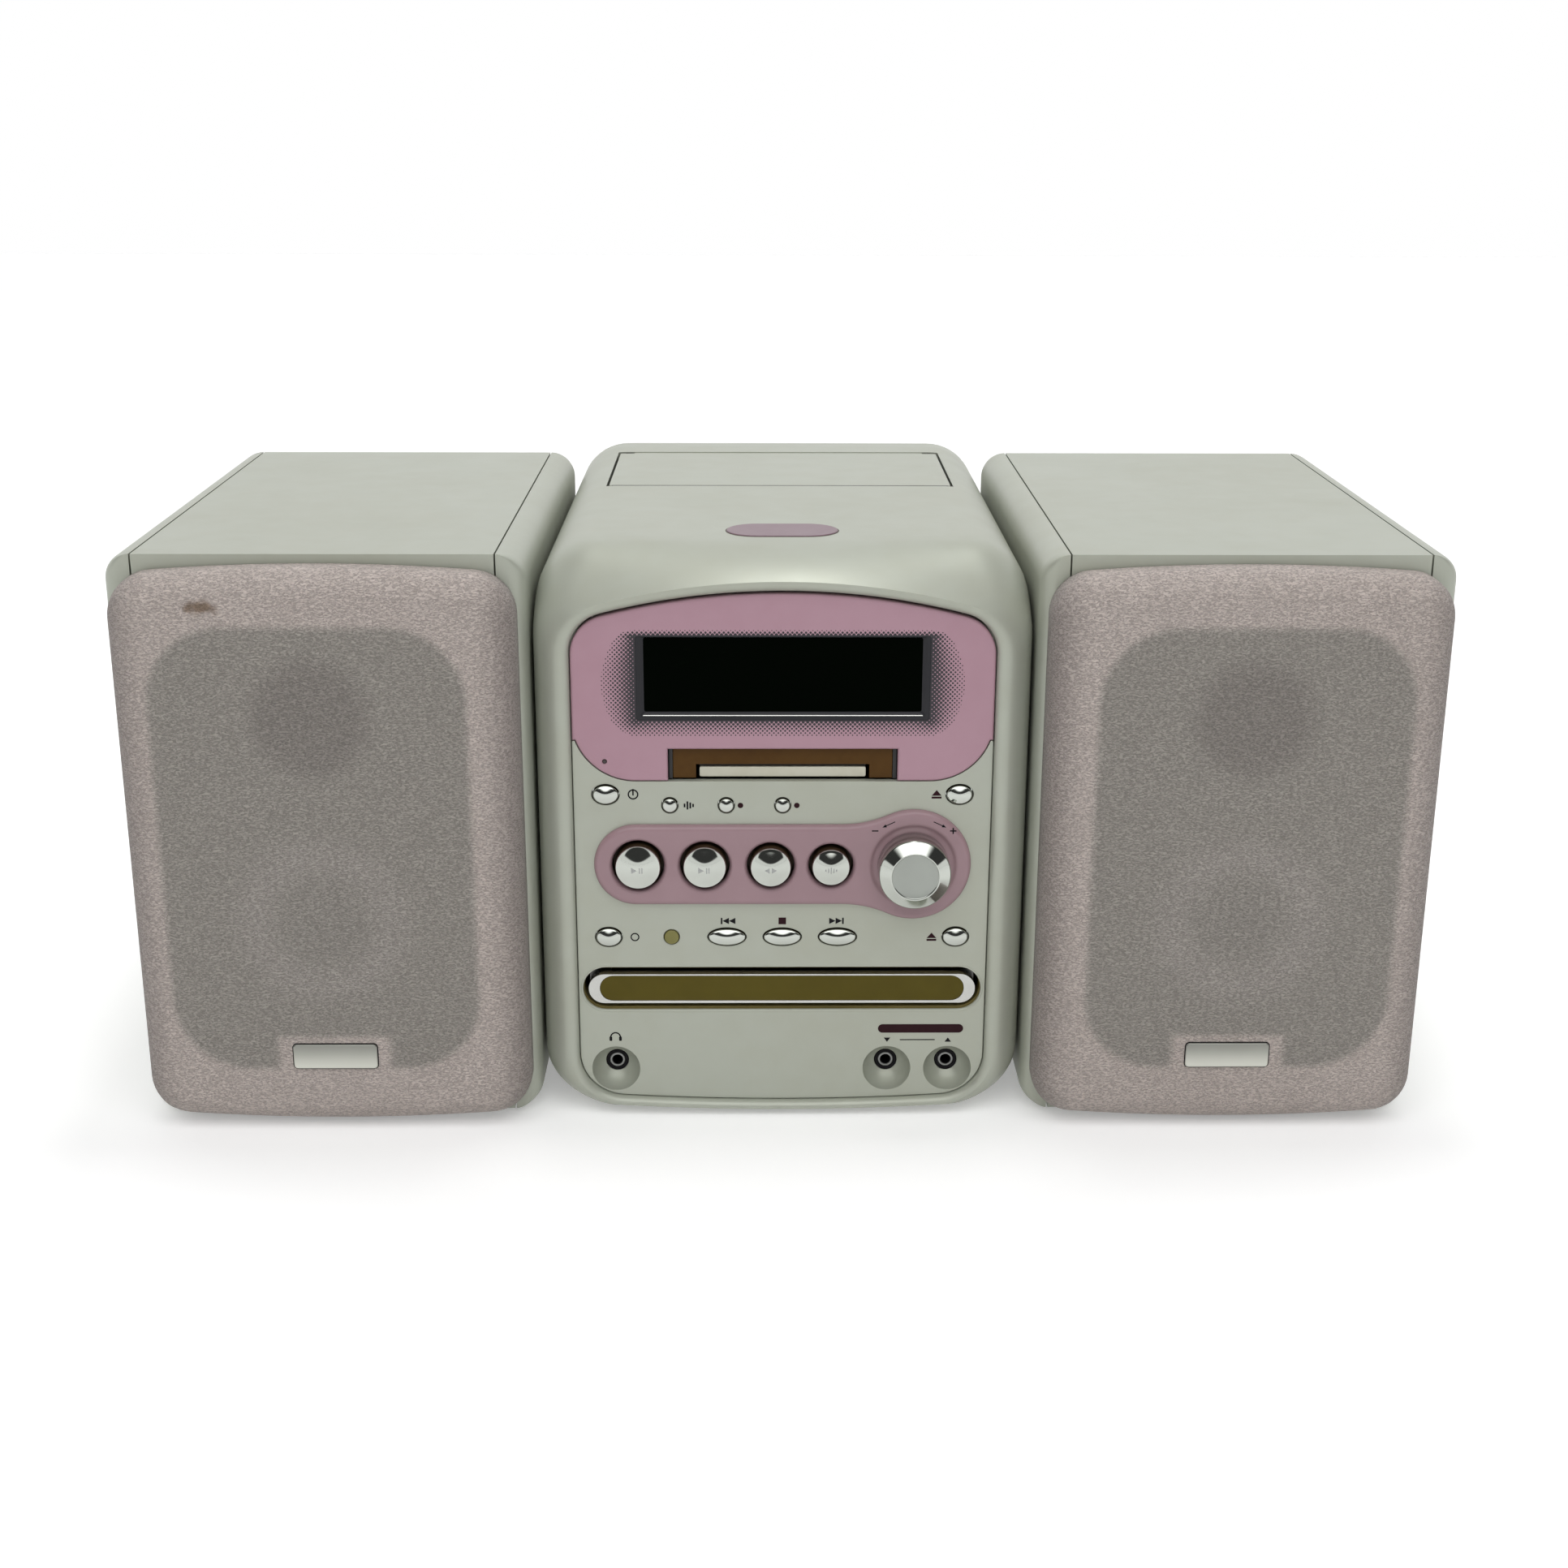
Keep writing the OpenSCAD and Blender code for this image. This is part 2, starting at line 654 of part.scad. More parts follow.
module turntable() in_frame() color("gainsboro") translate([0, disc_y, 0]) rotate_extrude() {
    low = deck_floor_z + deck_floor_t;
    polygon([
        [0, deck_floor_z - 2], [spindle_bore_r - 0.2, deck_floor_z - 2], [spindle_bore_r - 0.2, low + 0.5],
        [14, low + 0.5], [14, tray_z - 2.2], [7.3, tray_z - 2.2], [6, tray_z - 0.6], [0, tray_z - 0.6]
    ]);
}

// Cassette well

module cassette_lid() in_frame() color([0.78, 0.79, 0.73]) {
    step_y = lid_axis[0] - 6;
    hinge_half = lid_half_w - lid_ear_w - 2.8;
    block([-lid_half_w, lid_front, unit_h - lid_t], [lid_half_w, step_y, unit_h]);
    block([-hinge_half, step_y, unit_h - lid_t], [hinge_half, lid_axis[0], unit_h]);
    axle(lid_axis[0], lid_axis[1], lid_axis_r, -hinge_half, hinge_half);
    axle(lid_axis[0], lid_axis[1], lid_pin_r, -hinge_half - 2.6, hinge_half + 2.6);
}

module cassette_deck() in_frame() color([0.2, 0.2, 0.2]) difference() {
    under = unit_h - wall;
    ear_in = lid_half_w - lid_ear_w - 2.4;
    ear_out = lid_half_w - 2.4;
    union() {
        block([-ear_out, lid_front - 6, under - 4], [ear_out, lid_rear + 6, under]);
        block([-well_half_w - 4, well_front - 4, well_floor - 3], [well_half_w + 4, well_rear + 4, under - 3]);
        for (side = [0, 1]) mirror([side, 0, 0])
            block([ear_in, lid_axis[0] - 3, under - cut], [ear_out, lid_axis[0] + 2.4, lid_axis[1] + 2]);
    }
    block([-well_half_w, well_front, well_floor], [well_half_w, well_rear, unit_h]);
    block([-ear_in, lid_axis[0] - 3, lid_axis[1] - 3], [ear_in, lid_axis[0] + 3, unit_h]);
    axle(lid_axis[0], lid_axis[1], lid_pin_r + 0.2, -unit_w / 2, unit_w / 2);
    for (side = [-1, 1]) translate([side * spindle_x, spindle_y, well_floor - 4]) cylinder(r = spindle_r + 0.2, h = 5);
}

module reel_spindle(side) in_frame() color("ivory") translate([side * spindle_x, spindle_y, 0]) {
    translate([0, 0, well_floor - 6]) cylinder(r = spindle_r, h = 16);
    translate([0, 0, well_floor + 0.4]) cylinder(r = 4.2, h = 7);
    for (i = [0:5]) rotate(i * 60) translate([3.6, -0.6, well_floor + 0.4]) cube([1.6, 1.2, 6]);
}
module left_reel_spindle() reel_spindle(-1);
module right_reel_spindle() reel_spindle(1);

module touch_pad() in_frame() color([0.86, 0.6, 0.62]) translate([0, pad_y, unit_h - wall]) {
    linear_extrude(wall + 0.4) stadium(pad_half[0], pad_half[1]);
    translate([0, 0, -2]) linear_extrude(2) stadium(pad_half[0] + 2.5, pad_half[1] + 2.5);
}

// Electrics

module main_board() in_frame() color("darkgreen") {
    back = rear_y - 12;
    left = 2 - base_half_w;
    top = floor_z + 6;
    block([left, electrics_y, top], [0, back, top + board_pcb_t]);
    for (x = [left + 5, -5], y = [electrics_y + 5, back - 5]) translate([x, y, floor_z])
        cylinder(r = 3, h = top + cut - floor_z);
    for (x = [left + 14, left + 30]) translate([x, electrics_y + 12, top + cut]) cylinder(r = 6, h = 22);
    block([-20, electrics_y + 4, top + cut], [-14, back - 8, top + 32]);
}

module transformer() in_frame() color("saddlebrown") {
    back = rear_y - 16;
    core_inset = (back - electrics_y) / 6;
    block([10, electrics_y + core_inset, floor_z], [58, back - core_inset, floor_z + 42]);
    block([18, electrics_y, floor_z + 8], [50, back, floor_z + 34]);
}

module mains_inlet() in_frame() color("black") translate([inlet_x, 0, inlet_z]) {
    difference() {
        union() {
            slab(rear_y - 3, rear_y) stadium(14.5, 9.5);
            slab(rear_y - 14, rear_y + 3) stadium(12, 7);
        }
        slab(rear_y - 10, rear_y + 3 + cut) stadium(8.5, 4.3);
    }
    for (side = [-1, 1]) rod(side * 4.3, 0, 1.2, rear_y - 11, rear_y + 1);
}

// A spring terminal seated against the wall whose inner face is at depth y
module terminal_block(x, z, y, reach) translate([x, 0, z]) {
    slab(y - 3, y) front_rect(terminal_half[0] + 3, -terminal_half[1] - 3, terminal_half[1] + 3);
    slab(y - 1, y + reach) front_rect(terminal_half[0], -terminal_half[1], terminal_half[1]);
}

module speaker_terminals() in_frame() color([0.12, 0.12, 0.12]) {
    for (x = terminal_x) terminal_block(x, terminal_z, rear_y, rear_t + 1.5);
    for (side = [-1, 1]) terminal_block(side * speaker_x, woofer_z, speaker_d - board_t, board_t - 0.5);
}

// Speakers

module cabinet(side) in_frame() color([0.74, 0.75, 0.69]) translate([side * speaker_x, 0, 0]) difference() {
    inner = cabinet_half_w - board_t;
    block([-cabinet_half_w, 0, foot_h], [cabinet_half_w, speaker_d, unit_h]);
    block([-inner, board_t, foot_h + board_t], [inner, speaker_d - board_t, unit_h - board_t]);
    rod(0, woofer_z, basket_r + clear, -cut, board_t + cut);
    rod(0, tweeter_z, tweeter_r - 4 + clear, -cut, board_t + cut);
    translate([0, 0, woofer_z]) slab(speaker_d - board_t - cut, speaker_d + cut)
        front_rect(terminal_half[0] + clear, -terminal_half[1] - clear, terminal_half[1] + clear);
}
module left_cabinet() cabinet(-1);
module right_cabinet() cabinet(1);

module side_panels(side) in_frame() color([0.74, 0.75, 0.69]) translate([side * speaker_x, 0, 0])
    for (edge = [0, 1]) mirror([edge, 0, 0]) intersection() {
        slab(0, speaker_d) polygon(concat(
            [[cabinet_half_w, foot_h]],
            arc([speaker_w / 2 - cabinet_edge_r, foot_h + cabinet_edge_r], cabinet_edge_r, -90, 0),
            arc([speaker_w / 2 - cabinet_edge_r, unit_h - cabinet_edge_r], cabinet_edge_r, 0, 90),
            [[cabinet_half_w, unit_h]]
        ));
        linear_extrude(unit_h + cut) polygon(concat(
            [[0, 0]],
            arc([speaker_w / 2 - side_front_r, side_front_r], side_front_r, -90, 0),
            [[speaker_w / 2, speaker_d + cut], [0, speaker_d + cut]]
        ));
    }
module left_side_panels() side_panels(-1);
module right_side_panels() side_panels(1);

// The grille's outer form, shrunk by g all round
module grille_block(g = 0, corner_r = grille_corner_r) {
    half = grille_half_w - g;
    edge = grille_edge_r - g;
    mid_z = (grille_bottom + grille_top) / 2;
    bow_c = [0, grille_top - bow_r];
    bow_angle = asin((grille_half_w - corner_r) / (bow_r - corner_r));
    corner = bow_c + (bow_r - corner_r) * [sin(bow_angle), cos(bow_angle)];
    upper = concat(
        arc(corner, corner_r - g, 0, 90 - bow_angle),
        arc(bow_c, bow_r - g, 90 - bow_angle, 90)
    );
    right = concat(flipped(upper, mid_z), upper);
    front = g - grille_out;
    plan_right = [each arc([half - edge, front + edge], edge, -90, 0), [half, cut]];
    intersection() {
        slab(front, 0) polygon(concat(right, mirrored(right)));
        linear_extrude(unit_h) polygon(concat(plan_right, mirrored(plan_right)));
        across(half) polygon(concat(
            [[cut, grille_bottom + g]],
            arc([front + edge, grille_bottom + g + edge], edge, 270, 180),
            arc([front + edge, grille_top - g - edge], edge, 180, 90),
            [[cut, grille_top - g]]
        ));
    }
}

module grille_cloth(side) in_frame() color([0.62, 0.56, 0.54]) translate([side * speaker_x, 0, 0])
    difference() {
        grille_block();
        grille_block(cloth_t);
        slab(-cut, cut) front_rect(grille_half_w - cloth_t, 2 * grille_corner_r, unit_h - 2 * grille_corner_r);
    }
module left_grille_cloth() grille_cloth(-1);
module right_grille_cloth() grille_cloth(1);

module grille_frame(side) in_frame() color([0.2, 0.19, 0.18]) translate([side * speaker_x, 0, 0])
    difference() {
        g = cloth_t + 0.2;
        grille_block(g, grille_corner_r + 7);
        slab(-grille_out, cut) rounded_rect(
            grille_half_w - g - grille_rib, grille_bottom + g + grille_rib, grille_top - g - grille_rib, 8
        );
    }
module left_grille_frame() grille_frame(-1);
module right_grille_frame() grille_frame(1);

module badges() in_frame() color("gainsboro") for (side = [-1, 1]) translate([side * speaker_x, 0, 0])
    slab(-front_reach, -grille_out)
        rounded_rect(badge_half[0], badge_z - badge_half[1], badge_z + badge_half[1], 1.5);

module woofer_cone(side) in_frame() color([0.1, 0.1, 0.1]) turned(side * speaker_x, woofer_z) polygon([
    [0, -11], [8, -12], [14, -15], [cone_r - 4, -0.5], [cone_r - 2, 0.6], [cone_r, 0],
    [cone_r, -1], [cone_r - 4, -2], [coil_r + 1.5, -17], [coil_r + 0.8, coil_end],
    [coil_r, coil_end], [coil_r, -17], [0, -13]
]);
module left_woofer_cone() woofer_cone(-1);
module right_woofer_cone() woofer_cone(1);

module woofer_frames() in_frame() color("dimgray") for (side = [-1, 1]) turned(side * speaker_x, woofer_z) {
    top = coil_end + 4;
    groove = coil_end - 3 * cone_travel;
    polygon([
        [cone_r + cone_gap, flange_out], [cone_r + cone_gap, -4], [basket_r - 2, -8], [magnet_r - 2, top],
        [coil_r + 1.5, top], [coil_r + 1.5, groove], [coil_r - 0.7, groove], [coil_r - 0.7, top],
        [0, top], [0, groove - 12], [magnet_r, groove - 12], [magnet_r, top], [basket_r, -9], [basket_r, 0],
        [flange_r, 0], [flange_r, flange_out]
    ]);
}

module tweeters() in_frame() color([0.15, 0.15, 0.15]) for (side = [-1, 1])
    turned(side * speaker_x, tweeter_z) polygon(concat(
        [[0, -14], [tweeter_r - 4, -14], [tweeter_r - 4, 0], [tweeter_r, 0], [tweeter_r, 2.5]],
        [[tweeter_r - 3, 2.5], [11, 0.5]],
        arc([0, -5], 11, 25, 90)
    ));

outer_shell();
front_panel();
display_window();
display_module();
slot_cover();
slot_flap();
control_plate();
source_button_1();
source_button_2();
source_button_3();
source_button_4();
volume_knob();
volume_encoder();
power_button();
slot_eject_button();
display_button();
tray_eject_button();
round_button_1();
round_button_2();
round_button_3();
previous_button();
stop_button();
next_button();
remote_sensor();
standby_lamp();
tray_front();
tray_insert();
disc_tray();
loading_pinion();
disc_deck();
turntable();
slot_deck();
cassette_lid();
cassette_deck();
left_reel_spindle();
right_reel_spindle();
touch_pad();
jacks();
control_board();
main_board();
transformer();
base_plate();
rear_panel();
mains_inlet();
speaker_terminals();
feet();
screws();
left_cabinet();
left_side_panels();
left_woofer_cone();
left_grille_frame();
left_grille_cloth();
right_cabinet();
right_side_panels();
right_woofer_cone();
right_grille_frame();
right_grille_cloth();
woofer_frames();
tweeters();
badges();
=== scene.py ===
import json
import math

import bmesh
import bpy
import numpy as np
from mathutils import Matrix, Vector
from mathutils.geometry import delaunay_2d_cdt


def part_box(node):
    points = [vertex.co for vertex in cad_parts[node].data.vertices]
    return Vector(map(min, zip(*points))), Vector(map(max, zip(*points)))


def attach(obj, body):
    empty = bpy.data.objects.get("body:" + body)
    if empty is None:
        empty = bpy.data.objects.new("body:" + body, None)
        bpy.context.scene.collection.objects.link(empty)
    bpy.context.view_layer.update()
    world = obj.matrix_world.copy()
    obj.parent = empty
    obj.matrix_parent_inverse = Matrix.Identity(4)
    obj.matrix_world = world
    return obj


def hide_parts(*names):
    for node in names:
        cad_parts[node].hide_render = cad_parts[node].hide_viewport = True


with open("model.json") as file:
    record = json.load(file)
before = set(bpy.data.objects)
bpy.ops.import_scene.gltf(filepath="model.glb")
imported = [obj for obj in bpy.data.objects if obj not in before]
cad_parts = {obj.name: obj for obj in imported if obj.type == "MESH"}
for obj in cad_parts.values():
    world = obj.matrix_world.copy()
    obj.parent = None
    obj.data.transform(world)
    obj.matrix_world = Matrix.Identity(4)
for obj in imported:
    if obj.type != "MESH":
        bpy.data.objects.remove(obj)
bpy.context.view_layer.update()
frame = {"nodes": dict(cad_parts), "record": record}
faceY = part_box("control_plate")[1].y  # depth of the front panel's face, metres
print("frame loaded:", len(frame["nodes"]), "nodes")

# Lengths are millimetres where a comment doesn't say metres: x to the right, y behind the panel's face,
# z above the floor.


def toFrame(points):
    # millimetres from the panel's face become metres in the shared frame
    return np.asarray(points, float) / 1000 + np.array([0, faceY, 0])


def rgba(rgb):
    # sRGB 0-255 to linear light: c / 12.92 near black, else ((c + 0.055) / 1.055) ^ 2.4; the alpha is 1
    c = np.asarray(rgb, float) / 255
    linear = np.where(c <= 0.04045, c / 12.92, ((c + 0.055) / 1.055) ** 2.4)
    return (*linear.tolist(), 1.0)


# Camera: the viewing angle and lens fitted to the photograph
view = {
    "place": (-8.2, -718.8, 363.1), "yaw": 0.69, "pitch": 18.26, "roll": -0.20,
    "lens": 49.36, "sensor": 36.0, "shiftUp": 0.0035, "near": 0.02,  # near in metres
}


def addCamera():
    # forward = (sin yaw cos pitch, cos yaw cos pitch, -sin pitch); right and down turn by roll about it
    yaw, pitch, roll = (math.radians(view[k]) for k in ("yaw", "pitch", "roll"))
    forward = Vector((math.sin(yaw) * math.cos(pitch), math.cos(yaw) * math.cos(pitch), -math.sin(pitch)))
    level = Vector((math.cos(yaw), -math.sin(yaw), 0))
    drop = forward.cross(level)
    right = math.cos(roll) * level + math.sin(roll) * drop
    down = math.cos(roll) * drop - math.sin(roll) * level
    lens = bpy.data.cameras.new("photoCamera")
    lens.lens = view["lens"]
    lens.sensor_width = view["sensor"]
    lens.shift_y = view["shiftUp"]
    lens.clip_start = view["near"]
    camera = bpy.data.objects.new("photoCamera", lens)
    turn = Matrix((right, -down, -forward)).transposed()
    camera.matrix_world = Matrix.Translation(toFrame(view["place"])) @ turn.to_4x4()
    bpy.context.scene.collection.objects.link(camera)
    bpy.context.scene.camera = camera


addCamera()


# Outlines in the plane of a face, as counter-clockwise loops of points

def arcPoints(cx, cz, r, a0, a1, n):
    # centre + r (cos a, sin a) at n even angles from a0, stopping one step before a1
    a = np.radians(a0 + (a1 - a0) * np.arange(n) / n)
    return np.stack([cx + r * np.cos(a), cz + r * np.sin(a)], axis=1)


def linePoints(a, b, n):
    # a + (b - a) t at n even steps, without b
    t = (np.arange(n) / n)[:, None]
    return np.asarray(a, float) * (1 - t) + np.asarray(b, float) * t


def archLoop(halfW, low, high, rLow, rHigh, bowLow, bowHigh, counts=(20, 12, 16, 12, 26)):
    # a bottom and a top bowed to radii bowLow and bowHigh, reaching low and high in the middle,
    # joined to straight sides by corners of rLow and rHigh; it starts at the bottom's middle
    nLow, nCorner, nSide, nShoulder, nHigh = counts
    xLow, xHigh = halfW - rLow, halfW - rHigh
    zLow = low + bowLow - math.sqrt((bowLow - rLow) ** 2 - xLow ** 2)
    zHigh = high - bowHigh + math.sqrt((bowHigh - rHigh) ** 2 - xHigh ** 2)
    aLow = math.degrees(math.asin(xLow / (bowLow - rLow)))
    aHigh = math.degrees(math.asin(xHigh / (bowHigh - rHigh)))
    right = np.concatenate([
        arcPoints(0, low + bowLow, bowLow, -90, aLow - 90, nLow),
        arcPoints(xLow, zLow, rLow, aLow - 90, 0, nCorner),
        linePoints((halfW, zLow), (halfW, zHigh), nSide),
        arcPoints(xHigh, zHigh, rHigh, 0, 90 - aHigh, nShoulder),
        arcPoints(0, high - bowHigh, bowHigh, 90 - aHigh, 90, nHigh),
    ])
    return np.concatenate([right, [[0, high]], right[:0:-1] * [-1, 1]])


def ovalLoop(cx, cz, a, b, n=48):
    # (a cos t, b sin t) about the centre
    t = 2 * np.pi * np.arange(n) / n
    return np.stack([cx + a * np.cos(t), cz + b * np.sin(t)], axis=1)


def discLoop(cx, cz, r, n=48):
    return ovalLoop(cx, cz, r, r, n)


def pillLoop(cx, cz, halfW, halfH, n=16, straight=12):
    # two half circles of radius halfH joined by straight sides
    x = halfW - halfH
    return np.concatenate([
        arcPoints(cx + x, cz, halfH, -90, 90, n),
        linePoints((cx + x, cz + halfH), (cx - x, cz + halfH), straight),
        arcPoints(cx - x, cz, halfH, 90, 270, n),
        linePoints((cx - x, cz - halfH), (cx + x, cz - halfH), straight),
    ])


def boxLoop(x0, x1, z0, z1, r, n=5):
    # a rectangle with corners of radius r
    return np.concatenate([
        arcPoints(x1 - r, z0 + r, r, -90, 0, n), [[x1, z0 + r]], arcPoints(x1 - r, z1 - r, r, 0, 90, n),
        [[x1 - r, z1]], arcPoints(x0 + r, z1 - r, r, 90, 180, n), [[x0, z1 - r]],
        arcPoints(x0 + r, z0 + r, r, 180, 270, n), [[x0 + r, z0]],
    ])


def pushed(loop, d, sharpest=0.4):
    # every point moves d along the mean normal of its two sides, further at a corner: d / cos(half its turn),
    # where that cosine counts as no less than sharpest
    ahead = np.roll(loop, -1, axis=0) - loop
    ahead = np.stack([ahead[:, 1], -ahead[:, 0]], axis=1) / np.linalg.norm(ahead, axis=1)[:, None]
    normal = ahead + np.roll(ahead, 1, axis=0)
    normal /= np.linalg.norm(normal, axis=1)[:, None]
    return loop + d * normal / np.maximum((normal * ahead).sum(axis=1), sharpest)[:, None]


def insideLoop(points, loop):
    # even-odd rule: a ray to the right crosses the loop an odd number of times
    x, z = points[:, :1], points[:, 1:]
    ax, az = loop[:, 0], loop[:, 1]
    bx, bz = np.roll(ax, -1), np.roll(az, -1)
    straddles = (az > z) != (bz > z)
    rise = np.where(bz == az, 1, bz - az)
    return (straddles & (x < ax + (z - az) / rise * (bx - ax))).sum(axis=1) % 2 == 1


# Meshes from grids, sweeps and turned profiles: each returns points, faces and a zone number for each face

def gridQuads(rows, cols, wrapRows=False):
    # quads between neighbours of a grid numbered row by row, each row closed on itself
    r = np.arange(rows if wrapRows else rows - 1)[:, None]
    c = np.arange(cols)[None, :]
    r2, c2 = (r + 1) % rows, (c + 1) % cols
    return np.stack([r * cols + c, r * cols + c2, r2 * cols + c2, r2 * cols + c], axis=-1).reshape(-1, 4)


def filled(outer, holes):
    # Delaunay triangles of all the loops' points, kept where they lie inside outer and outside every hole
    loops = [outer, *holes]
    points = np.concatenate(loops)
    starts = np.cumsum([0] + [len(loop) for loop in loops[:-1]])
    sides = [
        (int(s + i), int(s + (i + 1) % len(loop)))
        for s, loop in zip(starts, loops) for i in range(len(loop))
    ]
    made = delaunay_2d_cdt([Vector(p) for p in points.tolist()], sides, [], 0, 1e-7)
    source = np.array([ids[0] for ids in made[3]])
    triangles = source[np.array(made[2])]
    middle = points[triangles].mean(axis=1)
    keep = insideLoop(middle, outer)
    for hole in holes:
        keep &= ~insideLoop(middle, hole)
    return triangles[keep]


def frontLay(flat, depth):
    return np.column_stack([flat[:, 0], np.broadcast_to(depth, len(flat)), flat[:, 1]])


def topLay(flat, depth):
    return np.column_stack([flat, -np.broadcast_to(depth, len(flat))])


def ringMesh(rings, wrapRows=False):
    # loops of equal length at successive depths, given as (loop, depth), each joined to the next
    points = np.concatenate([frontLay(loop, depth) for loop, depth in rings])
    faces = gridQuads(len(rings), len(rings[0][0]), wrapRows).tolist()
    return points, faces, [0] * len(faces)


def plateMesh(outer, rim, holes=(), lay=frontLay):
    # a flat front and back joined along each loop by a rim, a profile of (push, depth) carried round the
    # loop from the front to the back; a hole is (loop, profile, zone, profile row where that zone begins)
    points, faces, zones, front, back = [], [], [], [], []
    count = 0
    for loop, profile, zone, first in [(outer, rim, 0, 0), *holes]:
        rings = [pushed(loop, d) for d, _ in profile]
        points += [lay(ring, depth) for ring, (_, depth) in zip(rings, profile)]
        quads = gridQuads(len(rings), len(loop)) + count
        faces += quads.tolist()
        zones += np.where(np.arange(len(quads)) // len(loop) >= first, zone, 0).tolist()
        front.append(rings[0])
        back.append(rings[-1])
        count += len(rings) * len(loop)
    for loops, depth in ((front, rim[0][1]), (back, rim[-1][1])):
        triangles = filled(loops[0], loops[1:])
        flat = np.concatenate(loops)
        points.append(lay(flat, depth))
        faces += (triangles + count).tolist()
        zones += [0] * len(triangles)
        count += len(flat)
    return np.concatenate(points), faces, zones


rimLead = 0.15  # flat strip between a face and the curve of its rim


def roundRim(r, front, back, steps=5):
    # a quarter circle of radius r from the front face over the edge, then straight back
    a = np.linspace(0, np.pi / 2, steps + 1)
    curve = np.stack([r * np.sin(a) - r, front + r - r * np.cos(a)], axis=1).tolist()
    return [(-r - rimLead, front), *map(tuple, curve), (0, back)]


def holeRim(r, front, back, steps=4):
    # the same edge round a hole, which opens out towards the front
    a = np.linspace(0, np.pi / 2, steps + 1)
    curve = np.stack([r - r * np.sin(a), front + r - r * np.cos(a)], axis=1).tolist()
    return [(r + rimLead, front), *map(tuple, curve), (0, back)]


def turnedMesh(cx, cz, profile, stretch=1.0, n=64, breaks=()):
    # (cx + stretch r cos t, -out, cz + r sin t) for every turn t and every (r, out) of the profile;
    # the zone goes up by one at each profile row named in breaks
    profile = np.asarray(profile, float)
    t = 2 * np.pi * np.arange(n) / n
    r, out = profile[:, :1], profile[:, 1:]
    points = np.stack([
        cx + stretch * r * np.cos(t), np.broadcast_to(-out, (len(r), n)), cz + r * np.sin(t)
    ], axis=-1).reshape(-1, 3)
    rows = np.repeat(np.arange(len(r) - 1), n)
    zones = np.searchsorted(np.asarray(breaks), rows, side="right")
    return points, gridQuads(len(r), n).tolist(), zones.tolist()


def zoned(made, zone):
    # the same mesh with all its faces in one zone
    points, faces, zones = made
    return points, faces, [zone] * len(zones)


def joined(parts):
    # several meshes as one, their zones kept
    points, faces, zones = [], [], []
    count = 0
    for p, f, z in parts:
        points.append(p)
        faces += [[i + count for i in face] for face in f]
        zones += list(z)
        count += len(p)
    return np.concatenate(points), faces, zones


def smoothed(mesh, sharp=40):
    # smooth shading, split where two faces meet at more than sharp degrees
    mesh.shade_smooth()
    mesh.set_sharp_from_angle(angle=math.radians(sharp))


weldGap = 2e-6  # metres


def addPiece(name, made, looks, body="system", stands=(), sharp=40):
    # puts a mesh into the frame, welds its doubles, turns its faces outwards, gives each zone its finish
    # and hides the construction's nodes that it stands for
    points, faces, zones = made
    mesh = bpy.data.meshes.new(name)
    mesh.from_pydata(toFrame(points).tolist(), [], faces)
    mesh.polygons.foreach_set("material_index", np.asarray(zones, np.int32))
    tidy = bmesh.new()
    tidy.from_mesh(mesh)
    bmesh.ops.remove_doubles(tidy, verts=tidy.verts, dist=weldGap)
    bmesh.ops.recalc_face_normals(tidy, faces=tidy.faces)
    tidy.to_mesh(mesh)
    tidy.free()
    smoothed(mesh, sharp)
    for look in looks:
        mesh.materials.append(finishes[look])
    piece = bpy.data.objects.new(name, mesh)
    bpy.context.scene.collection.objects.link(piece)
    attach(piece, body)
    if stands:
        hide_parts(*stands)
    return piece


# Shader helpers and the effects that several finishes share

def wire(tree, kind, feeds=None, **options):
    # adds a node, sets its options, and feeds each input from a socket or a plain value
    node = tree.nodes.new(kind)
    for key, value in options.items():
        setattr(node, key, value)
    for key, value in (feeds or {}).items():
        if isinstance(value, bpy.types.NodeSocket):
            tree.links.new(value, node.inputs[key])
        else:
            node.inputs[key].default_value = value
    return node


def calc(tree, operation, *values):
    # one Math node fed by sockets or numbers
    return wire(tree, "ShaderNodeMath", dict(enumerate(values)), operation=operation).outputs[0]


def distance(tree, a, b):
    # sqrt(a^2 + b^2)
    squares = [calc(tree, "MULTIPLY", side, side) for side in (a, b)]
    return calc(tree, "SQRT", calc(tree, "ADD", *squares))


def beyond(tree, value, middle, half):
    # how far a value lies more than half away from a middle, 0 when it is nearer
    away = calc(tree, "ABSOLUTE", calc(tree, "SUBTRACT", value, middle))
    return calc(tree, "MAXIMUM", calc(tree, "SUBTRACT", away, half), 0.0)


def millimetres(tree, place, axes):
    # the named coordinates of a place, in millimetres
    parts = wire(tree, "ShaderNodeSeparateXYZ", {"Vector": place}).outputs
    return [calc(tree, "MULTIPLY", parts[axis], 1000.0) for axis in axes]


def noise(tree, place, scale, detail, **more):
    feeds = {"Vector": place, "Scale": scale, "Detail": detail, **more}
    return wire(tree, "ShaderNodeTexNoise", feeds).outputs["Fac"]


def ramped(tree, value, low, high, toLow=0.0, toHigh=1.0, smooth=True):
    # value between low and high becomes toLow to toHigh, eased at both ends or in a straight line
    feeds = {"Value": value, "From Min": low, "From Max": high, "To Min": toLow, "To Max": toHigh}
    kind = "SMOOTHSTEP" if smooth else "LINEAR"
    return wire(tree, "ShaderNodeMapRange", feeds, interpolation_type=kind).outputs["Result"]


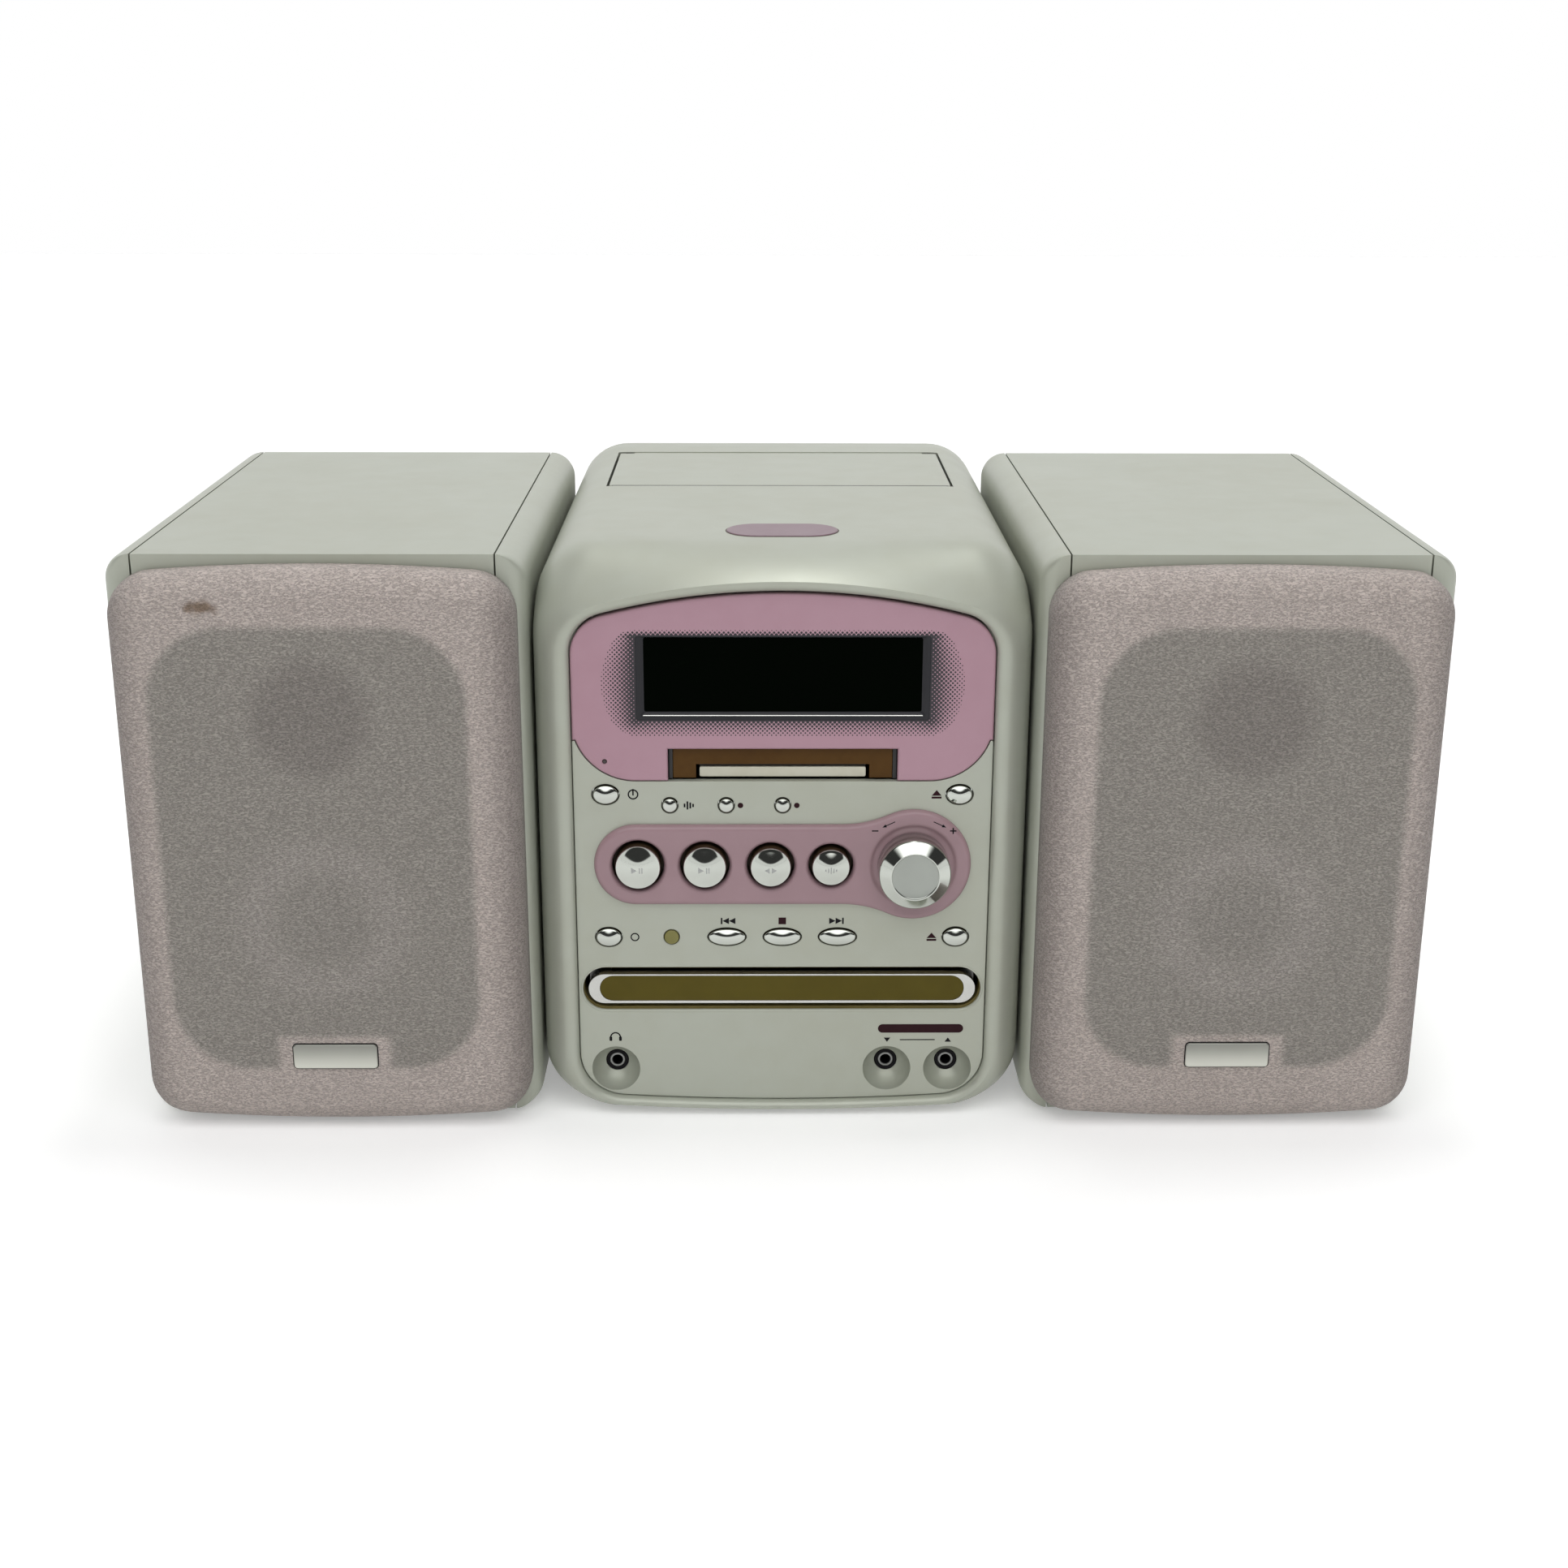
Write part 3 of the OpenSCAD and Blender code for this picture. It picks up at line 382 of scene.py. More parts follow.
def mixed(tree, share, a, b):
    # colour a with a share of colour b over it; a Mix node's sockets for colours are inputs 6 and 7, output 2
    node = wire(tree, "ShaderNodeMix", data_type="RGBA")
    for socket, value in zip((node.inputs[0], node.inputs[6], node.inputs[7]), (share, a, b)):
        if isinstance(value, bpy.types.NodeSocket):
            tree.links.new(value, socket)
        else:
            socket.default_value = value
    return node.outputs[2]


def startGroup(name, takes, gives):
    tree = bpy.data.node_groups.new(name, "ShaderNodeTree")
    for way, sockets in (("INPUT", takes), ("OUTPUT", gives)):
        for label, kind in sockets.items():
            tree.interface.new_socket(label, in_out=way, socket_type="NodeSocket" + kind)
    return tree, tree.nodes.new("NodeGroupInput").outputs, tree.nodes.new("NodeGroupOutput").inputs


driftNoise = {
    "detail": 5.0, "nearScale": 9.0, "nearDetail": 3.0, "nearShare": 0.35, "low": 0.36, "high": 0.68,
}
grainNoise = {"detail": 2.0, "smearScale": 55.0, "smearDetail": 6.0}


def makeToneDrift():
    # two layers of soft noise pull the colour towards a tint, as handling and age do
    d = driftNoise
    takes = {"Place": "Vector", "Color": "Color", "Tint": "Color", "Scale": "Float", "Amount": "Float"}
    tree, takes, gives = startGroup("toneDrift", takes, {"Color": "Color"})
    wide = noise(tree, takes["Place"], takes["Scale"], d["detail"])
    nearScale = calc(tree, "MULTIPLY", takes["Scale"], d["nearScale"])
    near = noise(tree, takes["Place"], nearScale, d["nearDetail"])
    both = calc(tree, "MULTIPLY_ADD", near, d["nearShare"], calc(tree, "MULTIPLY", wide, 1 - d["nearShare"]))
    share = calc(tree, "MULTIPLY", ramped(tree, both, d["low"], d["high"]), takes["Amount"])
    tree.links.new(mixed(tree, share, takes["Color"], takes["Tint"]), gives["Color"])
    return tree


def makeFineGrain():
    # a fine height for the bump and a roughness that wanders round its middle value
    takes = {"Place": "Vector", "Scale": "Float", "Depth": "Float", "Rough": "Float", "Spread": "Float"}
    tree, takes, gives = startGroup("fineGrain", takes, {"Height": "Float", "Rough": "Float"})
    fine = noise(tree, takes["Place"], takes["Scale"], grainNoise["detail"])
    smear = noise(tree, takes["Place"], grainNoise["smearScale"], grainNoise["smearDetail"])
    wander = calc(tree, "SUBTRACT", smear, 0.5)
    tree.links.new(calc(tree, "MULTIPLY", fine, takes["Depth"]), gives["Height"])
    tree.links.new(calc(tree, "MULTIPLY_ADD", wander, takes["Spread"], takes["Rough"]), gives["Rough"])
    return tree


toneDrift = makeToneDrift()
fineGrain = makeFineGrain()

# What a finish has unless its own row says otherwise (grain and drift are noise scales per metre, depth is in
# metres), and the shader inputs that stay plain numbers
plainLook = {
    "grain": 2500.0, "depth": 3e-6, "spread": 0.12, "drift": 14.0, "amount": 0.6,
    "metal": 0.0, "coat": 0.0, "coatRough": 0.08, "sheen": 0.0, "ior": 1.5,
}
plainInputs = {
    "Metallic": "metal", "Coat Weight": "coat", "Coat Roughness": "coatRough", "Sheen Weight": "sheen",
    "IOR": "ior",
}


def startFinish(name, look):
    # the shader of one finish with its colour drift, roughness and bump in place
    look = {**plainLook, **look}
    material = bpy.data.materials.new(name)
    material.use_nodes = True
    tree = material.node_tree
    shader = tree.nodes["Principled BSDF"]
    place = wire(tree, "ShaderNodeTexCoord").outputs["Object"]
    grain = wire(tree, "ShaderNodeGroup", {
        "Place": place, "Scale": look["grain"], "Depth": look["depth"],
        "Rough": look["rough"], "Spread": look["spread"],
    }, node_tree=fineGrain)
    colour = wire(tree, "ShaderNodeGroup", {
        "Place": place, "Color": rgba(look["colour"]), "Tint": rgba(look["tint"]),
        "Scale": look["drift"], "Amount": look["amount"],
    }, node_tree=toneDrift).outputs["Color"]
    bump = wire(tree, "ShaderNodeBump", {"Height": grain.outputs["Height"], "Distance": 1.0, "Strength": 1.0})
    tree.links.new(colour, shader.inputs["Base Color"])
    tree.links.new(grain.outputs["Rough"], shader.inputs["Roughness"])
    tree.links.new(bump.outputs["Normal"], shader.inputs["Normal"])
    for label, key in plainInputs.items():
        shader.inputs[label].default_value = look[key]
    return material, tree, shader, place, colour


finishLooks = {
    "pearl": dict(colour=(178, 182, 170), tint=(171, 173, 158), rough=0.42, ior=1.45, metal=0.3, grain=3600.0,
                  depth=1e-6, drift=11.0, amount=0.55),
    "pink": dict(colour=(178, 141, 154), tint=(171, 132, 145), rough=0.22, ior=1.45, drift=16.0, amount=0.5),
    "platePink": dict(colour=(160, 132, 138), tint=(152, 124, 130), rough=0.22, ior=1.45, drift=16.0,
                      amount=0.5),
    "padPink": dict(colour=(138, 117, 125), tint=(129, 107, 116), rough=0.35, ior=1.25, drift=30.0,
                    amount=0.5),
    "chrome": dict(colour=(196, 200, 193), tint=(184, 187, 180), rough=0.07, spread=0.08, metal=1.0,
                   depth=4e-7),
    "satin": dict(colour=(160, 164, 158), tint=(150, 154, 148), rough=0.3, metal=0.9, grain=5200.0,
                  depth=2e-6),
    "silver": dict(colour=(202, 203, 199), tint=(188, 188, 184), rough=0.2, metal=0.85, depth=1e-6),
    "olive": dict(colour=(90, 80, 25), tint=(78, 68, 19), rough=0.25, ior=1.22, amount=0.5),
    "sensor": dict(colour=(132, 128, 78), tint=(118, 114, 66), rough=0.3, ior=1.3),
    "amber": dict(colour=(86, 60, 26), tint=(73, 48, 19), rough=0.3, ior=1.2, drift=30.0),
    "cream": dict(colour=(206, 204, 188), tint=(194, 190, 170), rough=0.5, depth=5e-6, drift=30.0),
    "display": dict(colour=(1, 4, 1), tint=(1, 3, 1), rough=0.4, ior=1.06, depth=5e-7),
    "lensEdge": dict(colour=(42, 42, 46), tint=(34, 34, 37), rough=0.25, ior=1.3, depth=1e-6),
    "lamp": dict(colour=(38, 12, 12), tint=(24, 8, 8), rough=0.2, coat=0.4),
    # painted shade and reflection: this dark brown on hole walls, well floors, button skirts and the pad's
    # ring stands for the shade and dark reflections in those recesses
    "paintedShadeBrown": dict(colour=(70, 55, 38), tint=(50, 38, 25), rough=0.45, ior=1.3, drift=40.0, amount=0.8),
    "pocket": dict(colour=(124, 112, 66), tint=(100, 90, 50), rough=0.4, ior=1.3, drift=30.0, amount=0.8),
    "ink": dict(colour=(16, 14, 18), tint=(24, 21, 26), rough=0.6, ior=1.25),
    "inkRed": dict(colour=(44, 14, 22), tint=(36, 11, 17), rough=0.6, ior=1.25),
    "etched": dict(colour=(176, 178, 176), tint=(160, 162, 160), rough=0.55, metal=0.6),
    "black_plastic": dict(colour=(26, 26, 27), tint=(38, 37, 36), rough=0.46, depth=6e-6, grain=1800.0),
    "paper": dict(colour=(44, 43, 42), tint=(58, 56, 53), rough=0.8, depth=2e-5, grain=1500.0),
    "steel": dict(colour=(150, 151, 150), tint=(138, 138, 136), rough=0.38, metal=0.8, depth=3e-6),
    "board": dict(colour=(34, 84, 50), tint=(28, 66, 42), rough=0.42, depth=6e-6, grain=900.0),
    "rubber": dict(colour=(30, 30, 30), tint=(42, 41, 40), rough=0.75, depth=1e-5),
}
finishes = {name: startFinish(name, look)[0] for name, look in finishLooks.items()}
print("finishes made:", len(finishes))


# Pink window finish: a printed halftone round the display, dots on a diagonal lattice that swell inwards
halftone = {
    "pitch": 1.57, "halfW": 51.0, "low": 151.5, "high": 181.2,
    "reachX": 11.6, "reachLow": 5.8, "reachHigh": 2.4,
    "middleZ": 164.5, "leanZ": 19.0, "endLoss": 6.5, "last": 1.04, "underHalfW": (43.0, 54.0), "soft": 0.6,
    "dot": 0.6, "dotPaintedGlare": 0.52, "dotOverMore": 0.1, "dotLast": 0.2, "dotEdge": 0.03, "ink": (44, 40, 46),
}


def makeWindowPink():
    h = halftone
    material, tree, shader, place, colour = startFinish("windowPink", finishLooks["pink"])
    x, z = millimetres(tree, place, "XZ")
    wide = calc(tree, "ABSOLUTE", x)
    # distance out from the display's frame, 0 at the frame and 1 where the dots end; sideways they end at
    # reachX - endLoss ((z - middleZ) / leanZ)^2
    lean = calc(tree, "DIVIDE", calc(tree, "SUBTRACT", z, h["middleZ"]), h["leanZ"])
    loss = calc(tree, "MULTIPLY", calc(tree, "POWER", lean, 2.0), h["endLoss"])
    reach = calc(tree, "SUBTRACT", h["reachX"], loss)
    outX = calc(tree, "DIVIDE", calc(tree, "SUBTRACT", wide, h["halfW"]), reach)
    outLow = calc(tree, "DIVIDE", calc(tree, "SUBTRACT", h["low"], z), h["reachLow"])
    outHigh = calc(tree, "DIVIDE", calc(tree, "SUBTRACT", z, h["high"]), h["reachHigh"])
    outZ = calc(tree, "MAXIMUM", outLow, outHigh)
    out = distance(tree, *[calc(tree, "MAXIMUM", side, 0.0) for side in (outX, outZ)])
    # lattice coordinates (x + z) / pitch and (x - z) / pitch, and the distance to the nearest dot's middle
    lattice = [calc(tree, "DIVIDE", calc(tree, sign, x, z), h["pitch"]) for sign in ("ADD", "SUBTRACT")]
    away = distance(tree, *[calc(tree, "SUBTRACT", calc(tree, "FRACT", u), 0.5) for u in lattice])
    # a dot's radius at the frame is smaller under the display's middle, which leaves a painted glare there,
    # and larger over it, and shrinks on the way out
    underZ = ramped(tree, z, h["low"] - h["soft"], h["low"], 1.0, 0.0)
    under = calc(tree, "MULTIPLY", underZ, ramped(tree, wide, *h["underHalfW"], 1.0, 0.0))
    over = ramped(tree, z, h["high"] - h["soft"], h["high"], 0.0, h["dotOverMore"])
    start = calc(tree, "ADD", ramped(tree, under, 0.0, 1.0, h["dot"], h["dotPaintedGlare"], smooth=False), over)
    shrink = calc(tree, "MULTIPLY", calc(tree, "SUBTRACT", start, h["dotLast"]),
                  calc(tree, "DIVIDE", out, h["last"]))
    size = calc(tree, "SUBTRACT", start, shrink)
    dots = ramped(tree, calc(tree, "SUBTRACT", size, away), -h["dotEdge"], h["dotEdge"])
    dots = calc(tree, "MULTIPLY", dots, calc(tree, "LESS_THAN", out, h["last"]))
    tree.links.new(mixed(tree, dots, colour, rgba(h["ink"])), shader.inputs["Base Color"])
    return material


finishes["windowPink"] = makeWindowPink()


# Casing: loops at successive depths over the bezel, the brow and the rear, then back inside the wall
casing = {
    "halfW": 87.0, "high": 210.0, "depth": 237.0, "foot": 2.0, "wall": 3.0, "cornerR": 21.0,
    "out": 3.0, "lip": 2.6, "sideR": 14.0, "sideTurn": 10.22, "sideStart": 70.8,
    "browEnd": 27.0, "browR": 55.5,
    "bowHigh": 253.6, "bowLow": 950.0, "straight": 60000.0, "footRise": 1.2, "footDeep": 2.0,
    "shoulderR": 18.1, "shoulderRate": 2.3, "rebate": 3.0, "throat": 16.0, "throatGrow": -0.6,
    "depths": (14.0, 18.0, 22.0, 27.0, 40.0, 80.0, 130.0, 180.0, 225.0, 236.0),
    "rearEdge": ((0.3, 0.3), (1.0, 0.0)), "innerDepths": (180.0, 80.0, 27.0, 20.0, 16.0),
    "lidCut": ((-69.0, 69.0), (130.3, 212.0), (199.0, 215.0)),
}
opening = {
    "halfW": 74.0, "low": 5.5, "high": 197.6, "rLow": 17.0, "rHigh": 14.5, "bowLow": 950.0, "bowHigh": 250.0,
}


def openingLoop(grow):
    # the front opening with every radius and reach grown by the same amount
    o = opening
    return archLoop(o["halfW"] + grow, o["low"] - grow, o["high"] + grow, o["rLow"] + grow, o["rHigh"] + grow,
                    o["bowLow"] + grow, o["bowHigh"] + grow)


def casingLoop(y, inset=0.0):
    # half width and height follow circular arcs in depth; over the brow the top and the foot fade from bowed
    # to straight, their curvature going down as 1 - (3 t^2 - 2 t^3)
    c = casing
    back = max(c["sideTurn"] - y, 0.0)
    halfW = c["halfW"] - c["sideR"] + math.sqrt(c["sideR"] ** 2 - back ** 2)
    rise = max(c["browEnd"] - y, 0.0)
    high = c["high"] - c["browR"] + math.sqrt(c["browR"] ** 2 - rise ** 2)
    t = min(max((y + c["out"]) / (c["browEnd"] + c["out"]), 0.0), 1.0)
    fade = 1 - t * t * (3 - 2 * t)
    bowLow, bowHigh = (1 / (fade / c[key] + (1 - fade) / c["straight"]) for key in ("bowLow", "bowHigh"))
    low = c["foot"] + c["footRise"] * max(0.0, 1 - (y + c["out"]) / c["footDeep"]) ** 2
    rHigh = c["shoulderR"] + (c["cornerR"] - c["shoulderR"]) * min(t * c["shoulderRate"], 1.0)
    return archLoop(halfW - inset, low + inset, high - inset, c["cornerR"] - inset, rHigh - inset,
                    bowLow - inset, bowHigh - inset)


def makeCasing():
    # the lip is a quarter circle from the opening outwards, and the side an arc of a larger one
    c = casing
    end = c["depth"]
    lipTurn = np.radians(np.linspace(0, 90, 9))
    lip = zip(c["lip"] * (1 - np.cos(lipTurn)), c["lip"] * (1 - np.sin(lipTurn)) - c["out"])
    side = c["sideTurn"] - c["sideR"] * np.sin(np.radians(np.linspace(c["sideStart"], 0, 11)))
    rings = [(openingLoop(0), c["rebate"]), *[(openingLoop(grow), y) for grow, y in lip]]
    rings += [(casingLoop(y), y) for y in (*side, *c["depths"])]
    rings += [(casingLoop(end, inset), end - before) for inset, before in c["rearEdge"]]
    rings += [(casingLoop(y, c["wall"]), y) for y in (end, *c["innerDepths"])]
    rings += [(openingLoop(c["throatGrow"]), y) for y in (c["throat"], c["rebate"])]
    return ringMesh(rings, wrapRows=True)


def cutOut(piece, box):
    # takes a box, given as its limits in x, y and z, out of a closed piece and bakes the result into its mesh
    corners = [(x, y, z) for x in box[0] for y in box[1] for z in box[2]]
    sides = [(0, 1, 3, 2), (4, 6, 7, 5), (0, 4, 5, 1), (2, 3, 7, 6), (0, 2, 6, 4), (1, 5, 7, 3)]
    mesh = bpy.data.meshes.new("cutter")
    mesh.from_pydata(toFrame(corners).tolist(), [], sides)
    cutter = bpy.data.objects.new("cutter", mesh)
    bpy.context.scene.collection.objects.link(cutter)
    step = piece.modifiers.new("cut", "BOOLEAN")
    step.operation = "DIFFERENCE"
    step.solver = "EXACT"
    step.object = cutter
    baked = bpy.data.meshes.new_from_object(piece.evaluated_get(bpy.context.evaluated_depsgraph_get()))
    piece.modifiers.clear()
    bpy.data.objects.remove(cutter)
    bpy.data.meshes.remove(mesh)
    smoothed(baked)
    piece.data = baked


shell = addPiece("casingShell", makeCasing(), ["pearl"], stands=["outer_shell"])
cutOut(shell, casing["lidCut"])
print("casing made")


# Front panel: a plate round the window's foot, with holes, the drawer's pocket and three dished jack wells
panel = {
    "thick": 3.0, "hornTop": 143.8, "hornTip": (0.15, 0.6), "hornClear": 1.0, "windowHalfW": 73.7,
    "windowLow": 129.2, "windowR": 22.0, "gap": 0.3, "edgeR": 0.2, "holeEdgeR": 0.35, "gapRow": 4,
    "sensor": (-39.8, 70.0), "sensorR": 2.6, "sensorGap": 0.25,
    "sensorProfile": [(0, -9), (2.6, -9), (2.6, 0.3), (2.35, 0.55), (0, 0.75)],
    "jacks": [(-60.8, 18.0), (38.5, 18.0), (60.8, 18.0)], "dishR": 8.7, "dishDeep": (0.6, 7.6),
    "dishEdge": [(0.2, 0.0), (0.14, 0.0), (0.06, 0.1), (0.02, 0.3)], "dishBack": [(-4.5, 9.0), (0.2, 9.0)],
    "pocket": (0.0, 49.85, 72.1, 8.25), "pocketRow": 7,
    "pocketRim": [(1.0, 0), (0.92, 0), (0.8, -0.1), (0.58, -0.2), (0.38, -0.2), (0.18, -0.05), (0.05, 0.25),
                  (0, 0.7), (0, 2.2), (-0.2, 2.4), (-0.2, 9.0), (0.6, 9.0)],
    "band": (-68.1, 68.1, 55.65, 58.65, 1.0), "bandRim": (0.1, 5.6, 6.4),
}
caps = {
    "side": {
        "half": (4.5, 3.4), "gap": 0.45, "edge": 0.5, "top": 1.8, "sides": 64,
        "places": {"power_button": (-62.4, 124.0), "slot_eject_button": (62.4, 124.0),
                   "display_button": (-62.4, 70.0), "tray_eject_button": (62.4, 70.0)},
    },
    "transport": {
        "half": (6.6, 3.1), "gap": 0.45, "edge": 0.5, "top": 1.8, "sides": 64,
        "places": {"previous_button": (-19.9, 70.0), "stop_button": (0.0, 70.0), "next_button": (19.9, 70.0)},
    },
    "round": {
        "half": (2.6, 2.6), "gap": 0.4, "edge": 0.4, "top": 1.3, "sides": 48,
        "places": {"round_button_1": (-39.8, 120.0), "round_button_2": (-19.9, 120.0),
                   "round_button_3": (0.0, 120.0)},
    },
}
source = {
    "places": [(-51.3, 98.0, 8.0), (-27.6, 98.0, 7.6), (-4.2, 98.0, 7.2), (17.2, 98.0, 6.7)],  # x, z, radius
    "edge": 3.9, "top": 6.2, "skirtRow": 4, "holeGap": 1.2, "holeEdgeR": 0.1, "wellGap": 1.15,
}
knob = {
    "x": 46.5, "z": 98.0, "dishR": 14.9, "shaftHoleR": 3.4, "shaftEdgeR": 0.2, "satinRow": 14,
    "profile": [
        (0, -8.6), (3, -8.6), (3, 1.8), (12.0, 1.8), (12.45, 1.95), (12.7, 2.4), (12.7, 11.2), (12.6, 11.6),
        (12.3, 11.9), (8.9, 13.75), (8.75, 13.93), (8.55, 14.0), (8.35, 13.93), (8.25, 13.75), (8.15, 13.6),
        (7.9, 13.5), (4.0, 13.5), (0, 13.5),
    ],
}


def panelLoop():
    # the opening's lower part, up to the horns beside the window's lower corners, then round its foot
    p = panel
    right = openingLoop(-p["gap"])
    right = right[:len(right) // 2]
    right = right[right[:, 1] < p["hornTop"] - p["hornClear"]]
    r = p["windowR"] + p["gap"]
    cx, cz = p["windowHalfW"] - p["windowR"], p["windowLow"] + p["windowR"]
    top = math.degrees(math.asin((p["hornTop"] - cz) / r))
    x = opening["halfW"] - p["gap"]
    side = np.concatenate([
        right,
        [[x, p["hornTop"] - p["hornTip"][1]], [x - p["hornTip"][0], p["hornTop"]]],
        arcPoints(cx, cz, r, top, -90, 18),
        linePoints((cx, cz - r), (0, cz - r), 12),
    ])
    return np.concatenate([side, [[0, cz - r]], side[:0:-1] * [-1, 1]])


def dishRim():
    # the spherical well's wall sqrt(r^2 - depth^2), then back outside it to the panel's rear face
    p = panel
    r = p["dishR"]
    depth = np.linspace(*p["dishDeep"], 14)
    wall = np.stack([np.sqrt(r ** 2 - depth ** 2) - r, depth], axis=1).tolist()
    return [*p["dishEdge"], *map(tuple, wall), *p["dishBack"], (p["dishBack"][-1][0], p["thick"])]


def makePanel():
    # a hole has three sides for every four of the cap in it
    p = panel
    t = p["thick"]
    tight = holeRim(p["holeEdgeR"], 0, t)
    # the holes' inner walls (zone 1) take the painted shade brown
    holes = []
    for cap in caps.values():
        a, b = (half + cap["gap"] for half in cap["half"])
        outlines = [ovalLoop(x, z, a, b, cap["sides"] * 3 // 4) for x, z in cap["places"].values()]
        holes += [(outline, tight, 1, p["gapRow"]) for outline in outlines]
    holes += [(discLoop(*p["sensor"], p["sensorR"] + p["sensorGap"], 36), tight, 1, p["gapRow"])]
    loose = holeRim(source["holeEdgeR"], 0, t)
    holes += [(discLoop(x, z, r + source["holeGap"]), loose, 1, 0) for x, z, r in source["places"]]
    shaftLoop = discLoop(knob["x"], knob["z"], knob["shaftHoleR"], 32)
    holes += [(shaftLoop, holeRim(knob["shaftEdgeR"], 0, t), 1, 0)]
    holes += [(discLoop(x, z, p["dishR"], 64), dishRim(), 0, 0) for x, z in p["jacks"]]
    pocketRim = [*p["pocketRim"], (p["pocketRim"][-1][0], t)]
    holes += [(pillLoop(*p["pocket"]), pocketRim, 2, p["pocketRow"])]
    face = plateMesh(panelLoop(), roundRim(p["edgeR"], 0, t), holes)
    band = plateMesh(boxLoop(*p["band"]), roundRim(*p["bandRim"]))
    return joined([face, zoned(band, 2)])


addPiece("frontPanel", makePanel(), ["pearl", "paintedShadeBrown", "pocket"], stands=["front_panel"])


# Window: a raised pink plate with a rolled edge, a notch for the cartridge door and a framed display opening
window = {
    "front": -0.5, "back": 3.0, "drop": 0.75, "notchHalfW": 40.3, "notchTop": 140.8, "low": 129.2,
    "display": (-48.3, 48.3, 154.3, 180.9), "lens": (-51.0, 51.0, 151.5, 181.4), "lensR": 0.8, "lensFit": 0.1,
    "frameRows": [(0.0, 3.0), (0.0, -0.3), (0.12, -0.36), (0.5, -0.3), (0.62, -0.08), (0.7, 0.1), (1.0, 0.45),
                  (1.0, 3.0)],  # share of the way from the lens's outline to the display's, and depth
    "paintedHighlightRow": 3, "stepIn": 0.2, "edgeR": 0.9, "holeEdgeR": 0.15,
    "slitRim": (0.05, 2.2, 3.2), "slitR": 0.4, "slitLaps": (0.2, 0.3), "slitEnds": (0.3, 0.4),
    "lamp": (-62.4, 136.4), "lampHoleR": 0.85,
    "lampProfile": [(0, -5), (0.75, -5), (0.75, 0.45), (0.6, 0.62), (0, 0.7)],
}
door = {
    "halfW": 38.6, "low": 129.6, "high": 140.3, "rim": (0.25, 2.0, 4.0), "cutHalfW": 30.5, "cutTop": 134.6,
    "flapHalfW": 29.3, "flapTop": 133.5, "flapLift": 0.2, "flapR": 0.7, "flapRim": (0.35, 2.6, 4.3),
    "webLift": 0.4, "webRise": 2.6, "webR": 0.3, "webRim": (0.1, 4.2, 5.0),
}


def windowLoop():
    # the opening's upper part, a step over the panel's horns, larger lower corners, and the notch in its foot
    w, p = window, panel
    cx, cz = p["windowHalfW"] - p["windowR"], p["windowLow"] + p["windowR"]
    upper = openingLoop(-p["gap"]) - [0, w["drop"]]
    upper = upper[:len(upper) // 2]
    upper = upper[upper[:, 1] > p["hornTop"] + p["hornClear"]]
    corner = arcPoints(cx, cz, p["windowR"], -90, 0, 40)
    corner = corner[corner[:, 1] < p["hornTop"] - w["stepIn"]]
    step = p["hornTop"] + p["gap"]
    side = np.concatenate([
        linePoints((w["notchHalfW"], w["notchTop"]), (w["notchHalfW"], w["low"]), 6),
        linePoints((w["notchHalfW"], w["low"]), (cx, w["low"]), 4),
        corner,
        [[corner[-1, 0] + w["stepIn"], step], [p["windowHalfW"], step]],
        upper,
    ])
    head = [[0, opening["high"] - p["gap"] - w["drop"]]]
    foot = linePoints((-w["notchHalfW"], w["notchTop"]), (w["notchHalfW"], w["notchTop"]), 16)
    return np.concatenate([side, head, side[::-1] * [-1, 1], foot[1:]])


def makeLensFrame():
    # a ring from the lens's outline to the display's: nearly flat, a step below painted silver as a painted
    # highlight, then down to it
    w = window
    outer = pushed(boxLoop(*w["lens"], w["lensR"]), w["lensFit"])
    inner = boxLoop(*w["display"], w["lensR"])
    rings = [(outer + (inner - outer) * share, y) for share, y in w["frameRows"]]
    points, faces, _ = ringMesh(rings, wrapRows=True)
    rows, column = np.divmod(np.arange(len(faces)), len(outer))
    # the step's run along the display's bottom is silver, a painted highlight
    bottom = np.isclose(np.maximum(inner[:, 1], np.roll(inner[:, 1], -1)), w["display"][2])
    return points, faces, np.where((rows == w["paintedHighlightRow"]) & bottom[column], 2, 1).tolist()


def makeSlitShade():
    # black strips closing the gaps beside the cartridge door, painted shade for those gaps, each a little
    # past the gap it closes
    w = window
    reach = np.array([door["halfW"], w["notchHalfW"]]) + w["slitLaps"]
    low, high = w["low"] + w["slitEnds"][0], w["notchTop"] + w["slitEnds"][1]
    strips = []
    for x0, x1 in (-reach[::-1], reach):
        strips.append(plateMesh(boxLoop(x0, x1, low, high, w["slitR"]), roundRim(*w["slitRim"])))
    return zoned(joined(strips), 3)


def makeWindow():
    w = window
    edge = holeRim(w["holeEdgeR"], w["front"], w["back"])
    lens = (boxLoop(*w["lens"], w["lensR"]), edge, 1, 1)
    lamp = (discLoop(*w["lamp"], w["lampHoleR"], 24), edge, 0, 0)
    face = plateMesh(windowLoop(), roundRim(w["edgeR"], w["front"], w["back"]), [lens, lamp])
    return joined([face, makeLensFrame(), makeSlitShade()])


addPiece("displayWindow", makeWindow(), ["windowPink", "lensEdge", "silver", "ink"],
         stands=["display_window"])
addPiece("standbyLamp", turnedMesh(*window["lamp"], window["lampProfile"], n=24), ["lamp"],
         stands=["standby_lamp"])
print("panel and window made")


